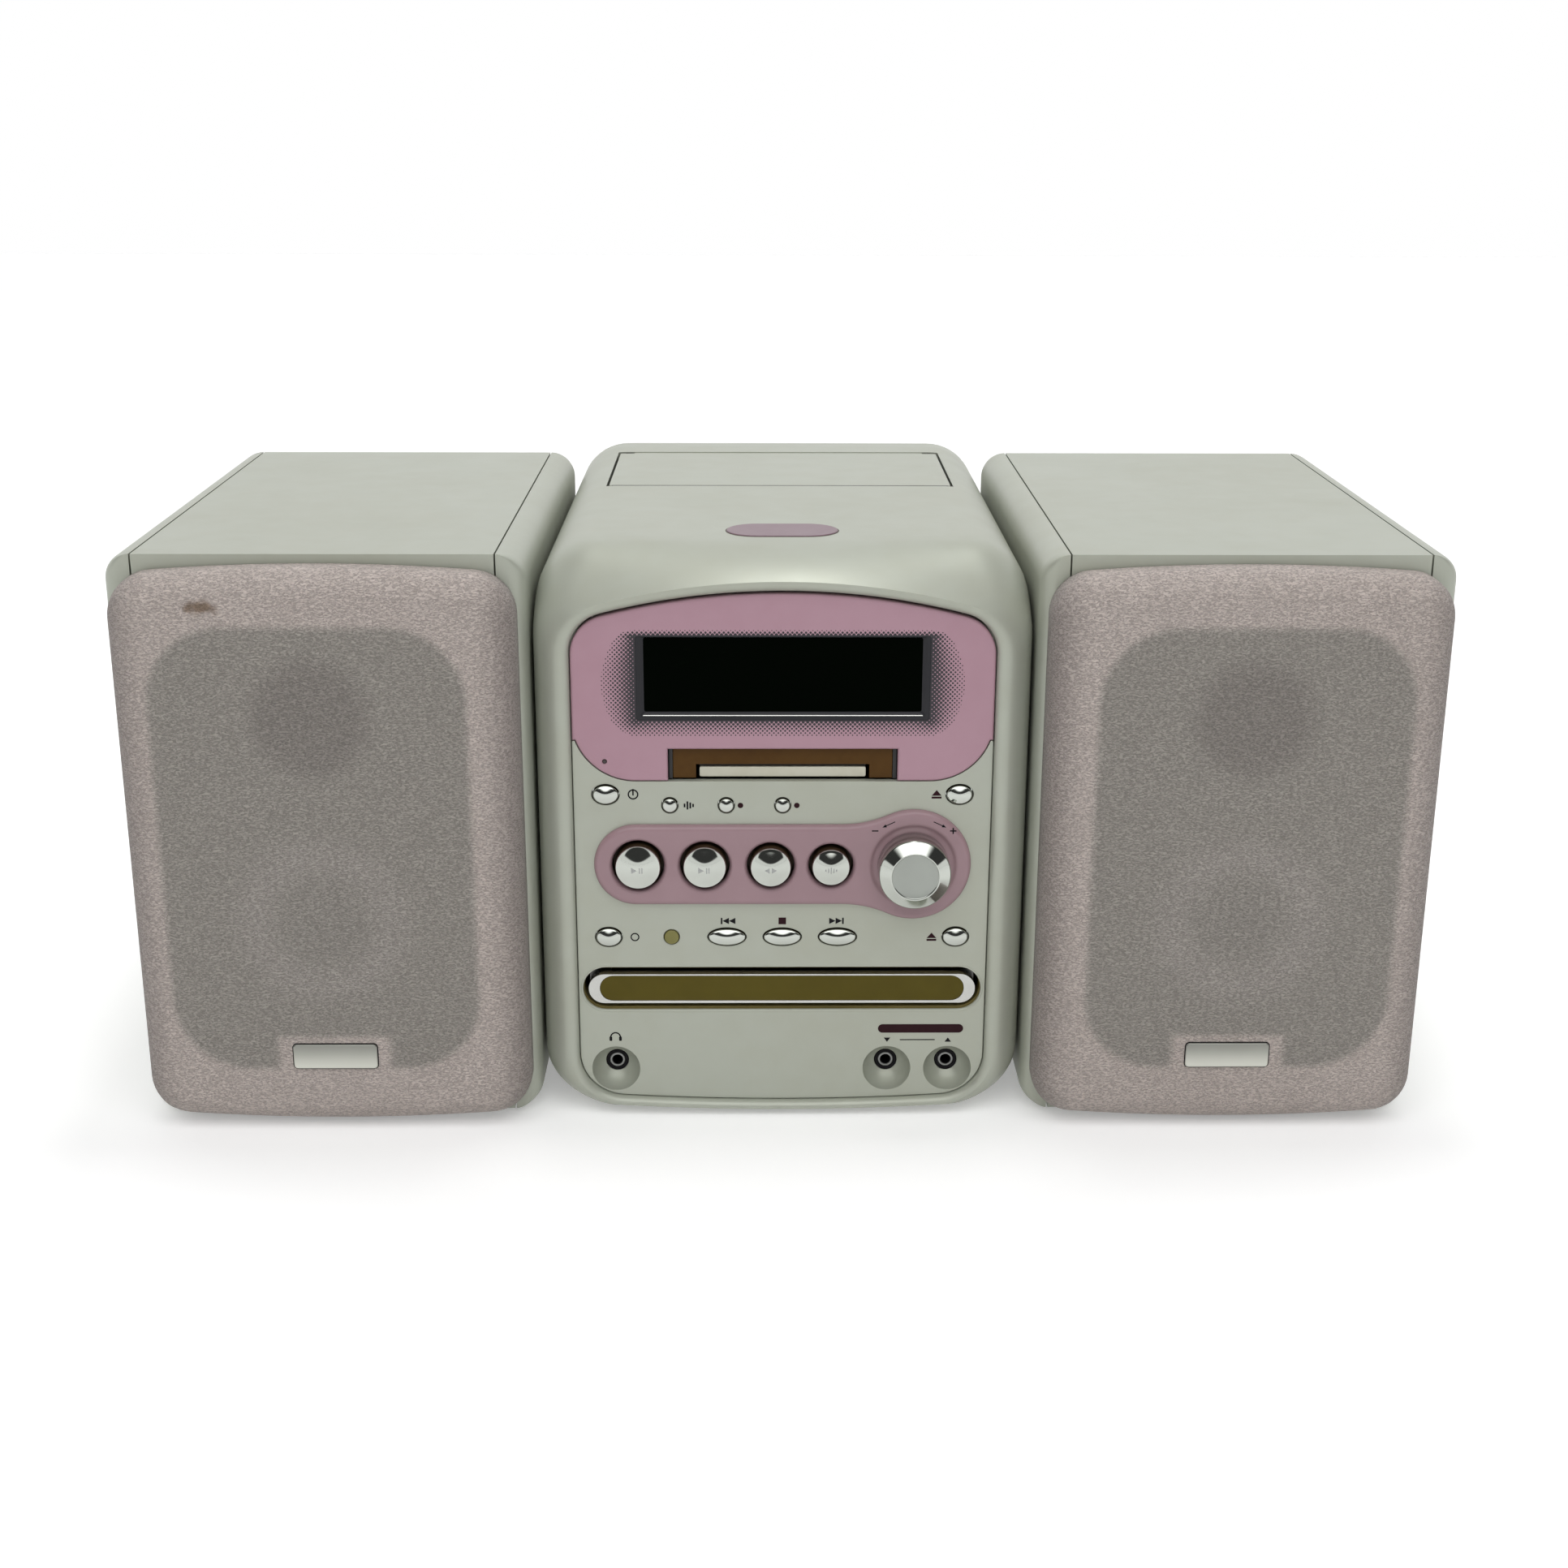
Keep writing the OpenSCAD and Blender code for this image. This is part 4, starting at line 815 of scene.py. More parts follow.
# Control plate: raised and rounded, with soft wells round the source buttons and a dish under the knob;
# a slope's rows are (push, depth behind the plate's front)
plate = {
    "out": 2.5, "endX": -52.0, "endR": 15.0, "bigR": 20.6, "blendR": 40.0, "edgeR": 2.0,
    "wellSlope": [(1.7, 0), (1.55, 0), (1.2, 0.06), (0.8, 0.26), (0.45, 0.66), (0.2, 1.2), (0.05, 1.8),
                  (0, 2.2), (0, 2.5)],
    "wellRow": 7,
    "dishSlope": [(1.4, 0), (1.25, 0), (0.8, 0.05), (0.35, 0.22), (0, 0.5), (-0.4, 0.78), (-0.9, 0.95),
                  (-1.5, 1.0), (-11.5, 1.0), (-11.5, 2.5)],
    "dishRow": 8,
}


def plateLoop():
    # a round end and a larger circle about the knob, joined by arcs that curve the other way
    p = plate
    rise = p["endR"] + p["blendR"]
    reach = p["bigR"] + p["blendR"]
    blendX = knob["x"] - math.sqrt(reach ** 2 - rise ** 2)
    turn = 180 - math.degrees(math.asin(rise / reach))
    upper = np.concatenate([
        arcPoints(knob["x"], 0, p["bigR"], 0, turn, 26),
        arcPoints(blendX, rise, p["blendR"], turn + 180, 270, 14),
        linePoints((blendX, p["endR"]), (p["endX"], p["endR"]), 24),
        arcPoints(p["endX"], 0, p["endR"], 90, 180, 18),
    ])
    tip = [[p["endX"] - p["endR"], 0]]
    return np.concatenate([upper, tip, upper[:0:-1] * [1, -1]]) + [0, knob["z"]]


def makePlate():
    p = plate
    well, dish = ([(push, deep - p["out"]) for push, deep in p[key]] for key in ("wellSlope", "dishSlope"))
    wellLoops = [discLoop(x, z, r + source["wellGap"], 56) for x, z, r in source["places"]]
    # the wells' deeper rows and the dish's floor take the painted shade brown, painted shade round the
    # buttons and under the knob
    holes = [(loop, well, 1, p["wellRow"]) for loop in wellLoops]
    holes.append((discLoop(knob["x"], knob["z"], knob["dishR"], 64), dish, 1, p["dishRow"]))
    return plateMesh(plateLoop(), roundRim(p["edgeR"], -p["out"], 0), holes)


addPiece("controlPlate", makePlate(), ["platePink", "paintedShadeBrown"], stands=["control_plate"])


# Buttons: a flange behind the panel, a straight skirt, and a dome that is round in the middle and nearly
# straight towards its edge: its height falls off as 1 - ln cosh(t / k) / ln cosh(1 / k), where t goes from 0
# in the middle to 1 at the edge
dome = {
    "k": 0.45, "back": -4.3, "flange": 1.0, "steps": 18,
    "rolled": ((0.0, -0.35), (-0.08, -0.1)), "rollIn": 0.25,
}


def domeOut(r, edge, top, away):
    # the dome's height at a distance from its middle
    t = np.minimum(away / r, 1)
    return edge + (top - edge) * (1 - np.log(np.cosh(t / dome["k"])) / math.log(math.cosh(1 / dome["k"])))


def domeProfile(r, edge, top):
    # the edge between skirt and dome is rolled over three rows
    back, wide = dome["back"], dome["flange"]
    t = np.linspace(1, 0, dome["steps"])
    rows = np.stack([r * t, domeOut(r, edge, top, r * t)], axis=1)
    foot = [(0, back), (r + wide, back), (r + wide, back + wide), (r, back + wide)]
    rolled = [(r + aside, edge + up) for aside, up in dome["rolled"]] + [(r - dome["rollIn"], rows[1, 1])]
    return np.concatenate([foot, rolled, rows[2:]])


def capName(node):
    first, *rest = node.split("_")
    return first + "".join(word.title() for word in rest) + "Cap"


for cap in caps.values():
    halfW, halfH = cap["half"]
    profile = domeProfile(halfH, cap["edge"], cap["top"])
    for node, (x, z) in cap["places"].items():
        turned = turnedMesh(x, z, profile, halfW / halfH, cap["sides"])
        addPiece(capName(node), turned, ["chrome"], node, [node])
for i, (x, z, r) in enumerate(source["places"], 1):
    node = f"source_button_{i}"
    # the flange and skirt take the painted shade brown, a painted dark reflection on the button's side
    turned = turnedMesh(x, z, domeProfile(r, source["edge"], source["top"]), breaks=[source["skirtRow"]])
    addPiece(capName(node), turned, ["paintedShadeBrown", "chrome"], node, [node])
addPiece("remoteSensor", turnedMesh(*panel["sensor"], panel["sensorProfile"], n=40), ["sensor"],
         stands=["remote_sensor"])
addPiece("volumeKnob", turnedMesh(knob["x"], knob["z"], knob["profile"], n=96, breaks=[knob["satinRow"]]),
         ["chrome", "satin"], "knob", ["volume_knob"])
print("controls made")


# Disc drawer: a ring with its insert set back in it
drawer = {
    "z": 49.3, "drop": 0.15, "halfW": 70.3, "halfH": 5.7, "front": 1.4, "back": 5.0,
    "edgeR": 0.1, "holeEdgeR": 0.15,
    "insertHalfW": 66.2, "insertHalfH": 4.9, "insertFront": 1.9,
}


def makeDrawerFront(insertLoop):
    d = drawer
    outer = pillLoop(0, d["z"] - d["drop"], d["halfW"], d["halfH"])
    hole = (insertLoop, holeRim(d["holeEdgeR"], d["front"], d["back"]), 0, 0)
    return plateMesh(outer, roundRim(d["edgeR"], d["front"], d["back"]), [hole])


insertLoop = pillLoop(0, drawer["z"], drawer["insertHalfW"], drawer["insertHalfH"])
insertRim = roundRim(drawer["edgeR"], drawer["insertFront"], drawer["back"])
addPiece("drawerFront", makeDrawerFront(insertLoop), ["silver"], "drawer", ["tray_front"])
addPiece("drawerInsert", plateMesh(insertLoop, insertRim), ["olive"], "drawer", ["tray_insert"])


# Jacks: a black barrel, a metal bush and a black bore, in one turned profile
jack = {
    "profile": [
        (0, -21.5), (4.1, -21.5), (4.1, -7.8), (3.95, -7.55), (3.7, -7.5), (3.1, -7.5), (2.95, -7.6),
        (2.9, -7.9), (2.8, -7.7), (2.5, -7.55), (2.1, -7.6), (1.85, -7.9), (1.8, -8.2), (1.8, -19.5),
        (0, -19.5),
    ],
    "bushRows": [7, 11],
}
jackParts = [turnedMesh(x, z, jack["profile"], n=40, breaks=jack["bushRows"]) for x, z in panel["jacks"]]
addPiece("audioJacks", joined(jackParts), ["ink", "steel", "ink"], stands=["jacks"])


# Cartridge door with its flap

def makeDoor():
    # the door's outline steps up round the flap
    d = door
    right = np.array([
        (d["cutHalfW"], d["cutTop"]), (d["cutHalfW"], d["low"]),
        (d["halfW"], d["low"]), (d["halfW"], d["high"]),
    ])
    return plateMesh(np.concatenate([right, right[::-1] * [-1, 1]]), roundRim(*d["rim"]))


def makeFlap():
    # the pale face and a black web behind it that reaches up behind the door
    d = door
    w, low, high = d["flapHalfW"], d["low"], d["flapTop"]
    face = plateMesh(boxLoop(-w, w, low + d["flapLift"], high, d["flapR"]), roundRim(*d["flapRim"]))
    webLoop = boxLoop(-w, w, low + d["webLift"], high + d["webRise"], d["webR"])
    return joined([face, zoned(plateMesh(webLoop, roundRim(*d["webRim"])), 1)])


addPiece("slotDoor", makeDoor(), ["amber"], "slot_door", ["slot_cover"])
addPiece("slotFlap", makeFlap(), ["cream", "black_plastic"], "slot_door", ["slot_flap"])


# Cassette lid and touch pad, on top
lid = {
    "halfW": 68.0, "front": 131.6, "step": 203.2, "rear": 207.8, "top": 210.0, "thick": 2.6, "skin": 0.45,
    "cornerR": 0.9, "edgeR": 0.4, "underEdgeR": 0.05, "underInset": 0.1, "overlap": 0.5,
    # the strip under the lid's front gap, painted shade there
    "seam": 1.0, "gapShadeInset": 1.0, "gapShadeDrop": 0.06, "gapShadeR": 0.3,
    "hingeHalfW": 62.0, "axisY": 209.2, "axisZ": 207.5, "axisR": 2.5,
}
pad = {
    "y": 41.0, "halfW": 20.0, "halfD": 11.0, "top": 210.4, "edgeR": 0.35, "back": 209.4,
    "seam": 0.4, "shadeRingTop": 210.06, "shadeRingEdgeR": 0.02,
}


def barMesh(x0, x1, y, z, r, n=28):
    # a round bar along x, closed at both ends
    t = 2 * np.pi * np.arange(n) / n
    ends = [np.column_stack([np.full(n, x), y + r * np.cos(t), z + r * np.sin(t)]) for x in (x0, x1)]
    faces = gridQuads(2, n).tolist() + [list(range(n)), list(range(n, 2 * n))]
    return np.concatenate(ends), faces, [0] * len(faces)


def makeLid():
    # a rounded skin over the hinge's ears too, the black plate under it with a black strip under the lid's
    # front gap as painted shade, and the hinge's barrel
    k = lid
    w, h, inset = k["halfW"], k["hingeHalfW"], k["underInset"]
    top, skin, low = -k["top"], k["skin"] - k["top"], k["thick"] - k["top"]
    cover = plateMesh(boxLoop(-w, w, k["front"], k["rear"], k["cornerR"]), roundRim(k["edgeR"], top, skin),
                      lay=topLay)
    underLoop = boxLoop(inset - w, w - inset, k["front"] + inset, k["step"], k["cornerR"])
    hingeLoop = boxLoop(-h, h, k["step"] - k["overlap"], k["axisY"], k["cornerR"])
    underRim = roundRim(k["underEdgeR"], skin, low)
    below = [plateMesh(loop, underRim, lay=topLay) for loop in (underLoop, hingeLoop)]
    # a black strip reaching forward under the front gap, painted shade
    gapShadeW = w - k["gapShadeInset"]
    shadeLoop = boxLoop(-gapShadeW, gapShadeW, k["front"] - k["seam"], k["front"] + k["overlap"], k["gapShadeR"])
    below.append(plateMesh(shadeLoop, roundRim(k["underEdgeR"], top + k["gapShadeDrop"], low), lay=topLay))
    bar = barMesh(-h, h, k["axisY"], k["axisZ"], k["axisR"])
    return joined([cover, zoned(joined(below), 1), bar])


def makePad():
    # the pad's top, and a dark ring round its foot, painted shade for the groove there
    p = pad
    face = plateMesh(pillLoop(0, p["y"], p["halfW"], p["halfD"]), roundRim(p["edgeR"], -p["top"], -p["back"]),
                     lay=topLay)
    shadeLoop = pillLoop(0, p["y"], p["halfW"] + p["seam"], p["halfD"] + p["seam"])
    seam = plateMesh(shadeLoop, roundRim(p["shadeRingEdgeR"], -p["shadeRingTop"], -p["back"]), lay=topLay)
    return joined([face, zoned(seam, 1)])


addPiece("cassetteLid", makeLid(), ["pearl", "black_plastic"], "lid", ["cassette_lid"])
addPiece("touchPad", makePad(), ["padPink", "paintedShadeBrown"], stands=["touch_pad"])
print("drawer, jacks, door, lid and pad made")


# Speakers: rounded side panels, cloth drawn over a frame, a blank badge; the cloth's noise scales are per
# metre and its relief is in metres
speaker = {
    "x": 160.0, "seam": 62.1, "outer": 72.0, "low": 2.0, "high": 210.0, "deep": 210.0,
    "edgeR": 10.0, "frontR": 6.0, "least": 0.1, "rearEdge": ((1.5, 0.0), (0.4, 0.4), (0.0, 1.5)),
}
grille = {
    "halfW": 69.0, "low": 2.5, "high": 207.0, "cornerR": 15.0, "bow": 730.0, "wall": 5.4, "edgeR": 10.0,
    "cloth": 1.2, "hem": [(-1.6, -0.3), (-0.5, -0.3), (0.0, -0.8)], "counts": (24, 10, 36, 10, 24),
    "frontShares": (0.93, 0.8, 0.6, 0.4, 0.2),
}
badge = {
    "look": dict(colour=(146, 147, 140), tint=(137, 138, 131), rough=0.3, metal=0.6, depth=1e-6),
    # the first two values on the next line mix a painted reflection into the badge's lower part
    "pale": (226, 227, 216), "paintedReflectionShare": 0.7, "z": 30.5, "halfW": 15.0, "halfH": 4.7, "cornerR": 1.4,
    "edgeR": 0.6, "front": 0.9, "back": 0.2,
    "baseGrow": 0.3, "baseEdgeR": 0.1, "baseFront": 0.25, "baseSunk": 0.1,
}
cloth = {
    "look": dict(colour=(190, 179, 173), tint=(180, 169, 162), rough=0.92, drift=9.0, amount=0.5, sheen=0.15),
    "field": (151, 146, 139), "fieldX": 162.0, "fieldZ": 106.85, "fieldHalfW": 54.6, "fieldHalfH": 81.55,
    "fieldR": 27.0, "fieldEdge": (-2.5, 1.5), "notchHalfW": (18.0, 22.0), "notchHigh": (6.0, 9.0),
    # the last two values on the next line set the painted shade on the cloth's two sides
    "dark": 0.7, "light": 1.2, "paintedSideShade": 0.66, "paintedSideFrom": (54.0, 69.0),
    "crepe": 2000.0, "crepeDetail": 2.0, "crepeRough": 0.55, "crepeTwist": 0.9, "foldFrom": (0.36, 0.62),
    "stretch": (0.42, 0.6, 1.0), "knit": 3600.0, "knitDetail": 1.0, "knitShare": 0.3, "relief": 0.0002,
    "driverX": 161.4,
    "drivers": [  # height, ring radius or 0 for a disc, half width of its even part, soft edge, share, tone
        (156.0, 0.0, 14.0, 12.0, 0.65, (128, 122, 117)),
        (82.0, 24.0, 0.0, 12.0, 0.4, (168, 161, 156)),
        (82.0, 0.0, 8.0, 10.0, 0.5, (144, 139, 133)),
    ],
    "stain": (-195.0, 195.0, 6.0, 3.0), "stainTone": (104, 78, 46), "stainShare": 0.75,
    "stainEdge": (1.1, 2.0), "ragScale": 260.0, "ragDetail": 3.0, "rag": 1.6,
}


def sidePanelMesh(middle, edge):
    # outlines seen from the front at stations in depth; in plan the front corner is a quarter circle
    s = speaker
    r, low, high, seam = s["frontR"], s["low"], s["high"], s["seam"]
    turn = np.radians(np.linspace(90, 0, 9))
    stations = [*zip(r - r * np.sin(turn), s["outer"] - r + r * np.cos(turn))]
    stations += [(s["deep"] - before, s["outer"] - inset) for before, inset in s["rearEdge"]]
    rings = []
    for y, outer in stations:
        corner = min(s["edgeR"], outer - seam - s["least"])
        x = outer - corner
        loop = np.concatenate([
            linePoints((seam, low), (x, low), 3),
            arcPoints(x, low + corner, corner, -90, 0, 12),
            linePoints((outer, low + corner), (outer, high - corner), 10),
            arcPoints(x, high - corner, corner, 0, 90, 12),
            linePoints((x, high), (seam, high), 3),
            linePoints((seam, high), (seam, low), 10),
        ])
        rings.append((loop * [edge, 1] + [middle, 0], y))
    points, faces, _ = ringMesh(rings)
    faces += [list(range(len(loop))), list(range(len(points) - len(loop), len(points)))]
    return points, faces, [0] * len(faces)


def grilleMesh(middle):
    # a bowed outline at each depth: a straight wall, a quarter round, then the flat front closing to a point
    g = grille
    turn = np.radians(np.linspace(9, 90, 10))
    rows = [*g["hem"], (0.0, -g["wall"])]
    rows += zip(g["edgeR"] * (np.cos(turn) - 1), -g["wall"] - g["edgeR"] * np.sin(turn))
    rings = []
    for grow, y in rows:
        r = g["cornerR"] + grow
        loop = archLoop(g["halfW"] + grow, g["low"] - grow, g["high"] + grow, r, r,
                        g["bow"], g["bow"], g["counts"])
        rings.append((loop, y))
    centre = np.array([[0, (g["low"] + g["high"]) / 2]])
    rings += [(centre + (loop - centre) * share, y) for share in g["frontShares"]]
    points, faces, _ = ringMesh(rings)
    last = np.arange(len(points) - len(loop), len(points))
    faces += np.column_stack([last, np.roll(last, -1), np.full(len(last), len(points))]).tolist()
    points = np.concatenate([points, frontLay(centre, y)]) + [middle, 0, 0]
    return points, faces, [0] * len(faces)


def badgeMesh(middle):
    # a rounded bar on a thin dark base that stands a little wider, a painted shadow line round the bar
    b = badge
    skinY = -grille["wall"] - grille["edgeR"]
    outline = boxLoop(middle - b["halfW"], middle + b["halfW"], b["z"] - b["halfH"], b["z"] + b["halfH"],
                      b["cornerR"])
    baseRim = roundRim(b["baseEdgeR"], skinY - b["baseFront"], skinY + b["baseSunk"])
    bar = plateMesh(outline, roundRim(b["edgeR"], skinY - b["front"], skinY - b["back"]))
    return [zoned(plateMesh(pushed(outline, b["baseGrow"]), baseRim), 1), bar]


def makeClothFinish():
    # crinkled cloth: pale over the frame, greyer over its opening, with the two drivers just showing, and
    # painted shade down its two sides
    c = cloth
    material, tree, shader, place, colour = startFinish("cloth", c["look"])
    x, z = millimetres(tree, place, "XZ")
    wide = calc(tree, "ABSOLUTE", x)
    beside = calc(tree, "ABSOLUTE", calc(tree, "SUBTRACT", wide, speaker["x"]))
    # distance outside a rounded box: the length of what passes the box less its corner radius
    overX = beyond(tree, wide, c["fieldX"], c["fieldHalfW"] - c["fieldR"])
    overZ = beyond(tree, z, c["fieldZ"], c["fieldHalfH"] - c["fieldR"])
    edge = [c["fieldR"] + step for step in c["fieldEdge"]]
    inside = ramped(tree, distance(tree, overX, overZ), *edge, 1.0, 0.0)
    # the frame widens round the badge
    notchX = ramped(tree, beside, *c["notchHalfW"], 1.0, 0.0)
    notchZ = ramped(tree, z, *[badge["z"] + high for high in c["notchHigh"]], 1.0, 0.0)
    notch = calc(tree, "MULTIPLY", notchX, notchZ)
    inside = calc(tree, "MULTIPLY", inside, calc(tree, "SUBTRACT", 1.0, notch))
    tone = mixed(tree, inside, colour, rgba(c["field"]))
    # the tweeter shows as a darker disc, the cone as a paler ring round a darker middle
    for driverZ, ringR, even, soft, share, driverTone in c["drivers"]:
        away = distance(tree, calc(tree, "SUBTRACT", wide, c["driverX"]), calc(tree, "SUBTRACT", z, driverZ))
        away = calc(tree, "ABSOLUTE", calc(tree, "SUBTRACT", away, ringR))
        tone = mixed(tree, ramped(tree, away, even, even + soft, share, 0.0), tone, rgba(driverTone))
    # an old stain on one speaker: an ellipse with a ragged edge
    stainX, stainZ, halfW, halfH = c["stain"]
    spot = distance(tree, calc(tree, "DIVIDE", calc(tree, "SUBTRACT", x, stainX), halfW),
                    calc(tree, "DIVIDE", calc(tree, "SUBTRACT", z, stainZ), halfH))
    spot = calc(tree, "MULTIPLY_ADD", noise(tree, place, c["ragScale"], c["ragDetail"]), c["rag"], spot)
    tone = mixed(tree, ramped(tree, spot, *c["stainEdge"], c["stainShare"], 0.0), tone, rgba(c["stainTone"]))
    # folds of stretched noise, and painted shade darkening the cloth where it turns round the frame's two
    # sides
    stretched = wire(tree, "ShaderNodeVectorMath", {0: place, 1: c["stretch"]}, operation="MULTIPLY")
    crepe = noise(tree, stretched.outputs["Vector"], c["crepe"], c["crepeDetail"],
                  Roughness=c["crepeRough"], Distortion=c["crepeTwist"])
    folds = ramped(tree, crepe, *c["foldFrom"])
    shade = ramped(tree, folds, 0.0, 1.0, c["dark"], c["light"], smooth=False)
    shade = calc(tree, "MULTIPLY", shade, ramped(tree, beside, *c["paintedSideFrom"], 1.0, c["paintedSideShade"]))
    tone = wire(tree, "ShaderNodeVectorMath", {0: tone, "Scale": shade}, operation="SCALE").outputs["Vector"]
    knit = noise(tree, place, c["knit"], c["knitDetail"])
    bump = tree.nodes["Bump"]
    bump.inputs["Distance"].default_value = c["relief"]
    tree.links.new(calc(tree, "MULTIPLY_ADD", knit, c["knitShare"], folds), bump.inputs["Height"])
    tree.links.new(tone, shader.inputs["Base Color"])
    return material


def makeBadgeFinish():
    # satin metal with a painted reflection: paler towards its lower edge
    material, tree, shader, place, colour = startFinish("badge", badge["look"])
    z = millimetres(tree, place, "Z")[0]
    paintedReflection = ramped(tree, z, badge["z"] - badge["halfH"], badge["z"] + badge["halfH"], badge["paintedReflectionShare"], 0.0)
    tree.links.new(mixed(tree, paintedReflection, colour, rgba(badge["pale"])), shader.inputs["Base Color"])
    return material


finishes["cloth"] = makeClothFinish()
finishes["badge"] = makeBadgeFinish()
badges = []
for name, side in (("left", -1), ("right", 1)):
    middle = side * speaker["x"]
    panels = [sidePanelMesh(middle, edge) for edge in (-1, 1)]
    addPiece(name + "SidePanels", joined(panels), ["pearl"], stands=[name + "_side_panels"])
    skin = addPiece(name + "GrilleCloth", grilleMesh(middle), ["cloth"],
                    stands=[name + "_grille_cloth"], sharp=180)
    thick = skin.modifiers.new("thick", "SOLIDIFY")
    thick.thickness = grille["cloth"] / 1000
    thick.offset = -1
    badges += badgeMesh(middle)
addPiece("speakerBadges", joined(badges), ["badge", "ink"], stands=["badges"])
print("speakers made")


# Printed signs: thin flat shapes on the panel and the control plate, and etched ones on the buttons' domes
signs = {
    "half": 0.05, "lift": 0.01,
    "power": (-52.7, 124.1), "powerRing": (1.9, 1.4), "powerBar": (0.26, 1.2), "powerBarUp": 0.8,
    "ejects": [(54.3, 124.1), (53.8, 70.0)], "ejectHead": (2.1, 1.75), "ejectHeadUp": 0.55,
    "ejectBar": (1.75, 0.36), "ejectBarUp": -1.2,
    "skips": [(-19.9, 76.2, -1), (19.9, 76.2, 1)], "skipHead": (2.3, 1.2), "skipHeadShifts": (-1.9, 0.4),
    "skipBar": (0.3, 1.2), "skipBarShift": 1.9,
    "stop": (0.0, 76.2, 1.35, 1.3), "display": (-53.0, 70.0, 1.6, 1.15),
    "wave": (-34.6, 120.0), "wavePitch": 1.0, "waveHalfW": 0.3, "waveHalfH": (0.7, 1.5, 1.1, 0.6),
    "dots": [(-14.9, 120.0), (5.0, 120.0)], "dotR": 1.0,
    "jackBar": (50.7, 33.9, 15.6, 1.7), "jackLine": (49.6, 29.4, 6.4, 0.2),
    "jackArrows": [(38.5, 29.4, 1.7, 1.2, 270), (60.8, 29.4, 1.7, 1.2, 90)],
    "earphone": (-60.8, 30.6), "earphoneR": (2.0, 1.5), "earPad": (1.25, 2.25, -1.5, 0.2), "earPadR": 0.3,
    "arrowFrom": (6.8, 114.7), "arrowTo": (10.0, 113.2), "arrowWide": 0.3,
    "arrowHead": (1.5, 0.6), "arrowHeadShift": (0.6, -0.3), "arrowTurn": {1: 335, -1: 205},
    "level": (13.8, 111.3), "levelHalf": (1.15, 0.22),
}
etched = {
    "scale": 1.05, "shift": (0, -0.4), "grid": 0.3, "inset": 0.08, "proud": 0.03, "sunk": 0.06,
    "playHead": (-1.2, 0, 1.9, 1.1, 0), "playBars": [(0.7, 0, 0.2, 1.0), (1.5, 0, 0.2, 1.0)],
    "bothHeads": [(-1.2, 0, 1.7, 1.0, 180), (1.2, 0, 1.7, 1.0, 0)],
    "pulsePitch": 0.9, "pulseHalfW": 0.2, "pulseHalfH": (0.4, 0.8, 1.2, 0.8, 0.4),
}


def signMesh(loop, out=0.0, zone=0, holes=()):
    # a flat shape half in and half before the surface that lies out before the panel's face
    flat = [(0, -out - signs["half"]), (0, -out + signs["half"])]
    return zoned(plateMesh(loop, flat, [(hole, flat, 0, 0) for hole in holes]), zone)


def triangleLoop(x, z, reach, half, turn):
    # an arrow head pointing along turn (degrees), its middle at (x, z)
    a = math.radians(turn)
    local = np.array([(-reach / 2, -half), (reach / 2, 0), (-reach / 2, half)])
    return local @ np.array([(math.cos(a), math.sin(a)), (-math.sin(a), math.cos(a))]) + [x, z]


def strokeLoop(a, b, wide):
    # a straight stroke between two points
    a, b = np.array(a, float), np.array(b, float)
    aside = np.array([-(b - a)[1], (b - a)[0]]) / np.linalg.norm(b - a) * wide / 2
    return np.array([a - aside, b - aside, b + aside, a + aside])


def barLoop(x, z, halfW, halfH):
    return np.array([(-halfW, -halfH), (halfW, -halfH), (halfW, halfH), (-halfW, halfH)]) + [x, z]


def ringSign(x, z, outer, inner):
    return signMesh(discLoop(x, z, outer, 32), holes=[discLoop(x, z, inner, 32)])


def ejectSign(x, z):
    # an arrow head over a bar
    head = triangleLoop(x, z + signs["ejectHeadUp"], *signs["ejectHead"], 90)
    bar = barLoop(x, z + signs["ejectBarUp"], *signs["ejectBar"])
    return [signMesh(loop, zone=1) for loop in (head, bar)]


def skipSign(x, z, way):
    # two arrow heads and a bar, pointing left or right
    s = signs
    turn = 90 - way * 90
    heads = [triangleLoop(x + way * shift, z, *s["skipHead"], turn) for shift in s["skipHeadShifts"]]
    return [signMesh(loop) for loop in (*heads, barLoop(x + way * s["skipBarShift"], z, *s["skipBar"]))]


def earphoneSign(x, z):
    # a half ring over two small pads
    outer, inner = signs["earphoneR"]
    ring = np.concatenate([
        arcPoints(x, z, outer, 0, 180, 18), [(x - outer, z)],
        arcPoints(x, z, inner, 180, 0, 18), [(x + inner, z)],
    ])
    x0, x1, z0, z1 = signs["earPad"]
    pads = [boxLoop(x + a, x + b, z + z0, z + z1, signs["earPadR"]) for a, b in ((-x1, -x0), (x0, x1))]
    return [signMesh(loop) for loop in (ring, *pads)]


def knobSigns(way):
    # beside the knob, a short stroke whose head points round it, and a level bar
    s = signs
    start, end, shift, level = (
        np.array(s[key]) * [way, 1] for key in ("arrowFrom", "arrowTo", "arrowHeadShift", "level")
    )
    middle = [knob["x"], 0]
    stroke = strokeLoop(start + middle, end + middle, s["arrowWide"])
    head = triangleLoop(*(end + shift + middle), *s["arrowHead"], s["arrowTurn"][way])
    bar = barLoop(*(level + middle), *s["levelHalf"])
    return [signMesh(loop, plate["out"]) for loop in (stroke, head, bar)]


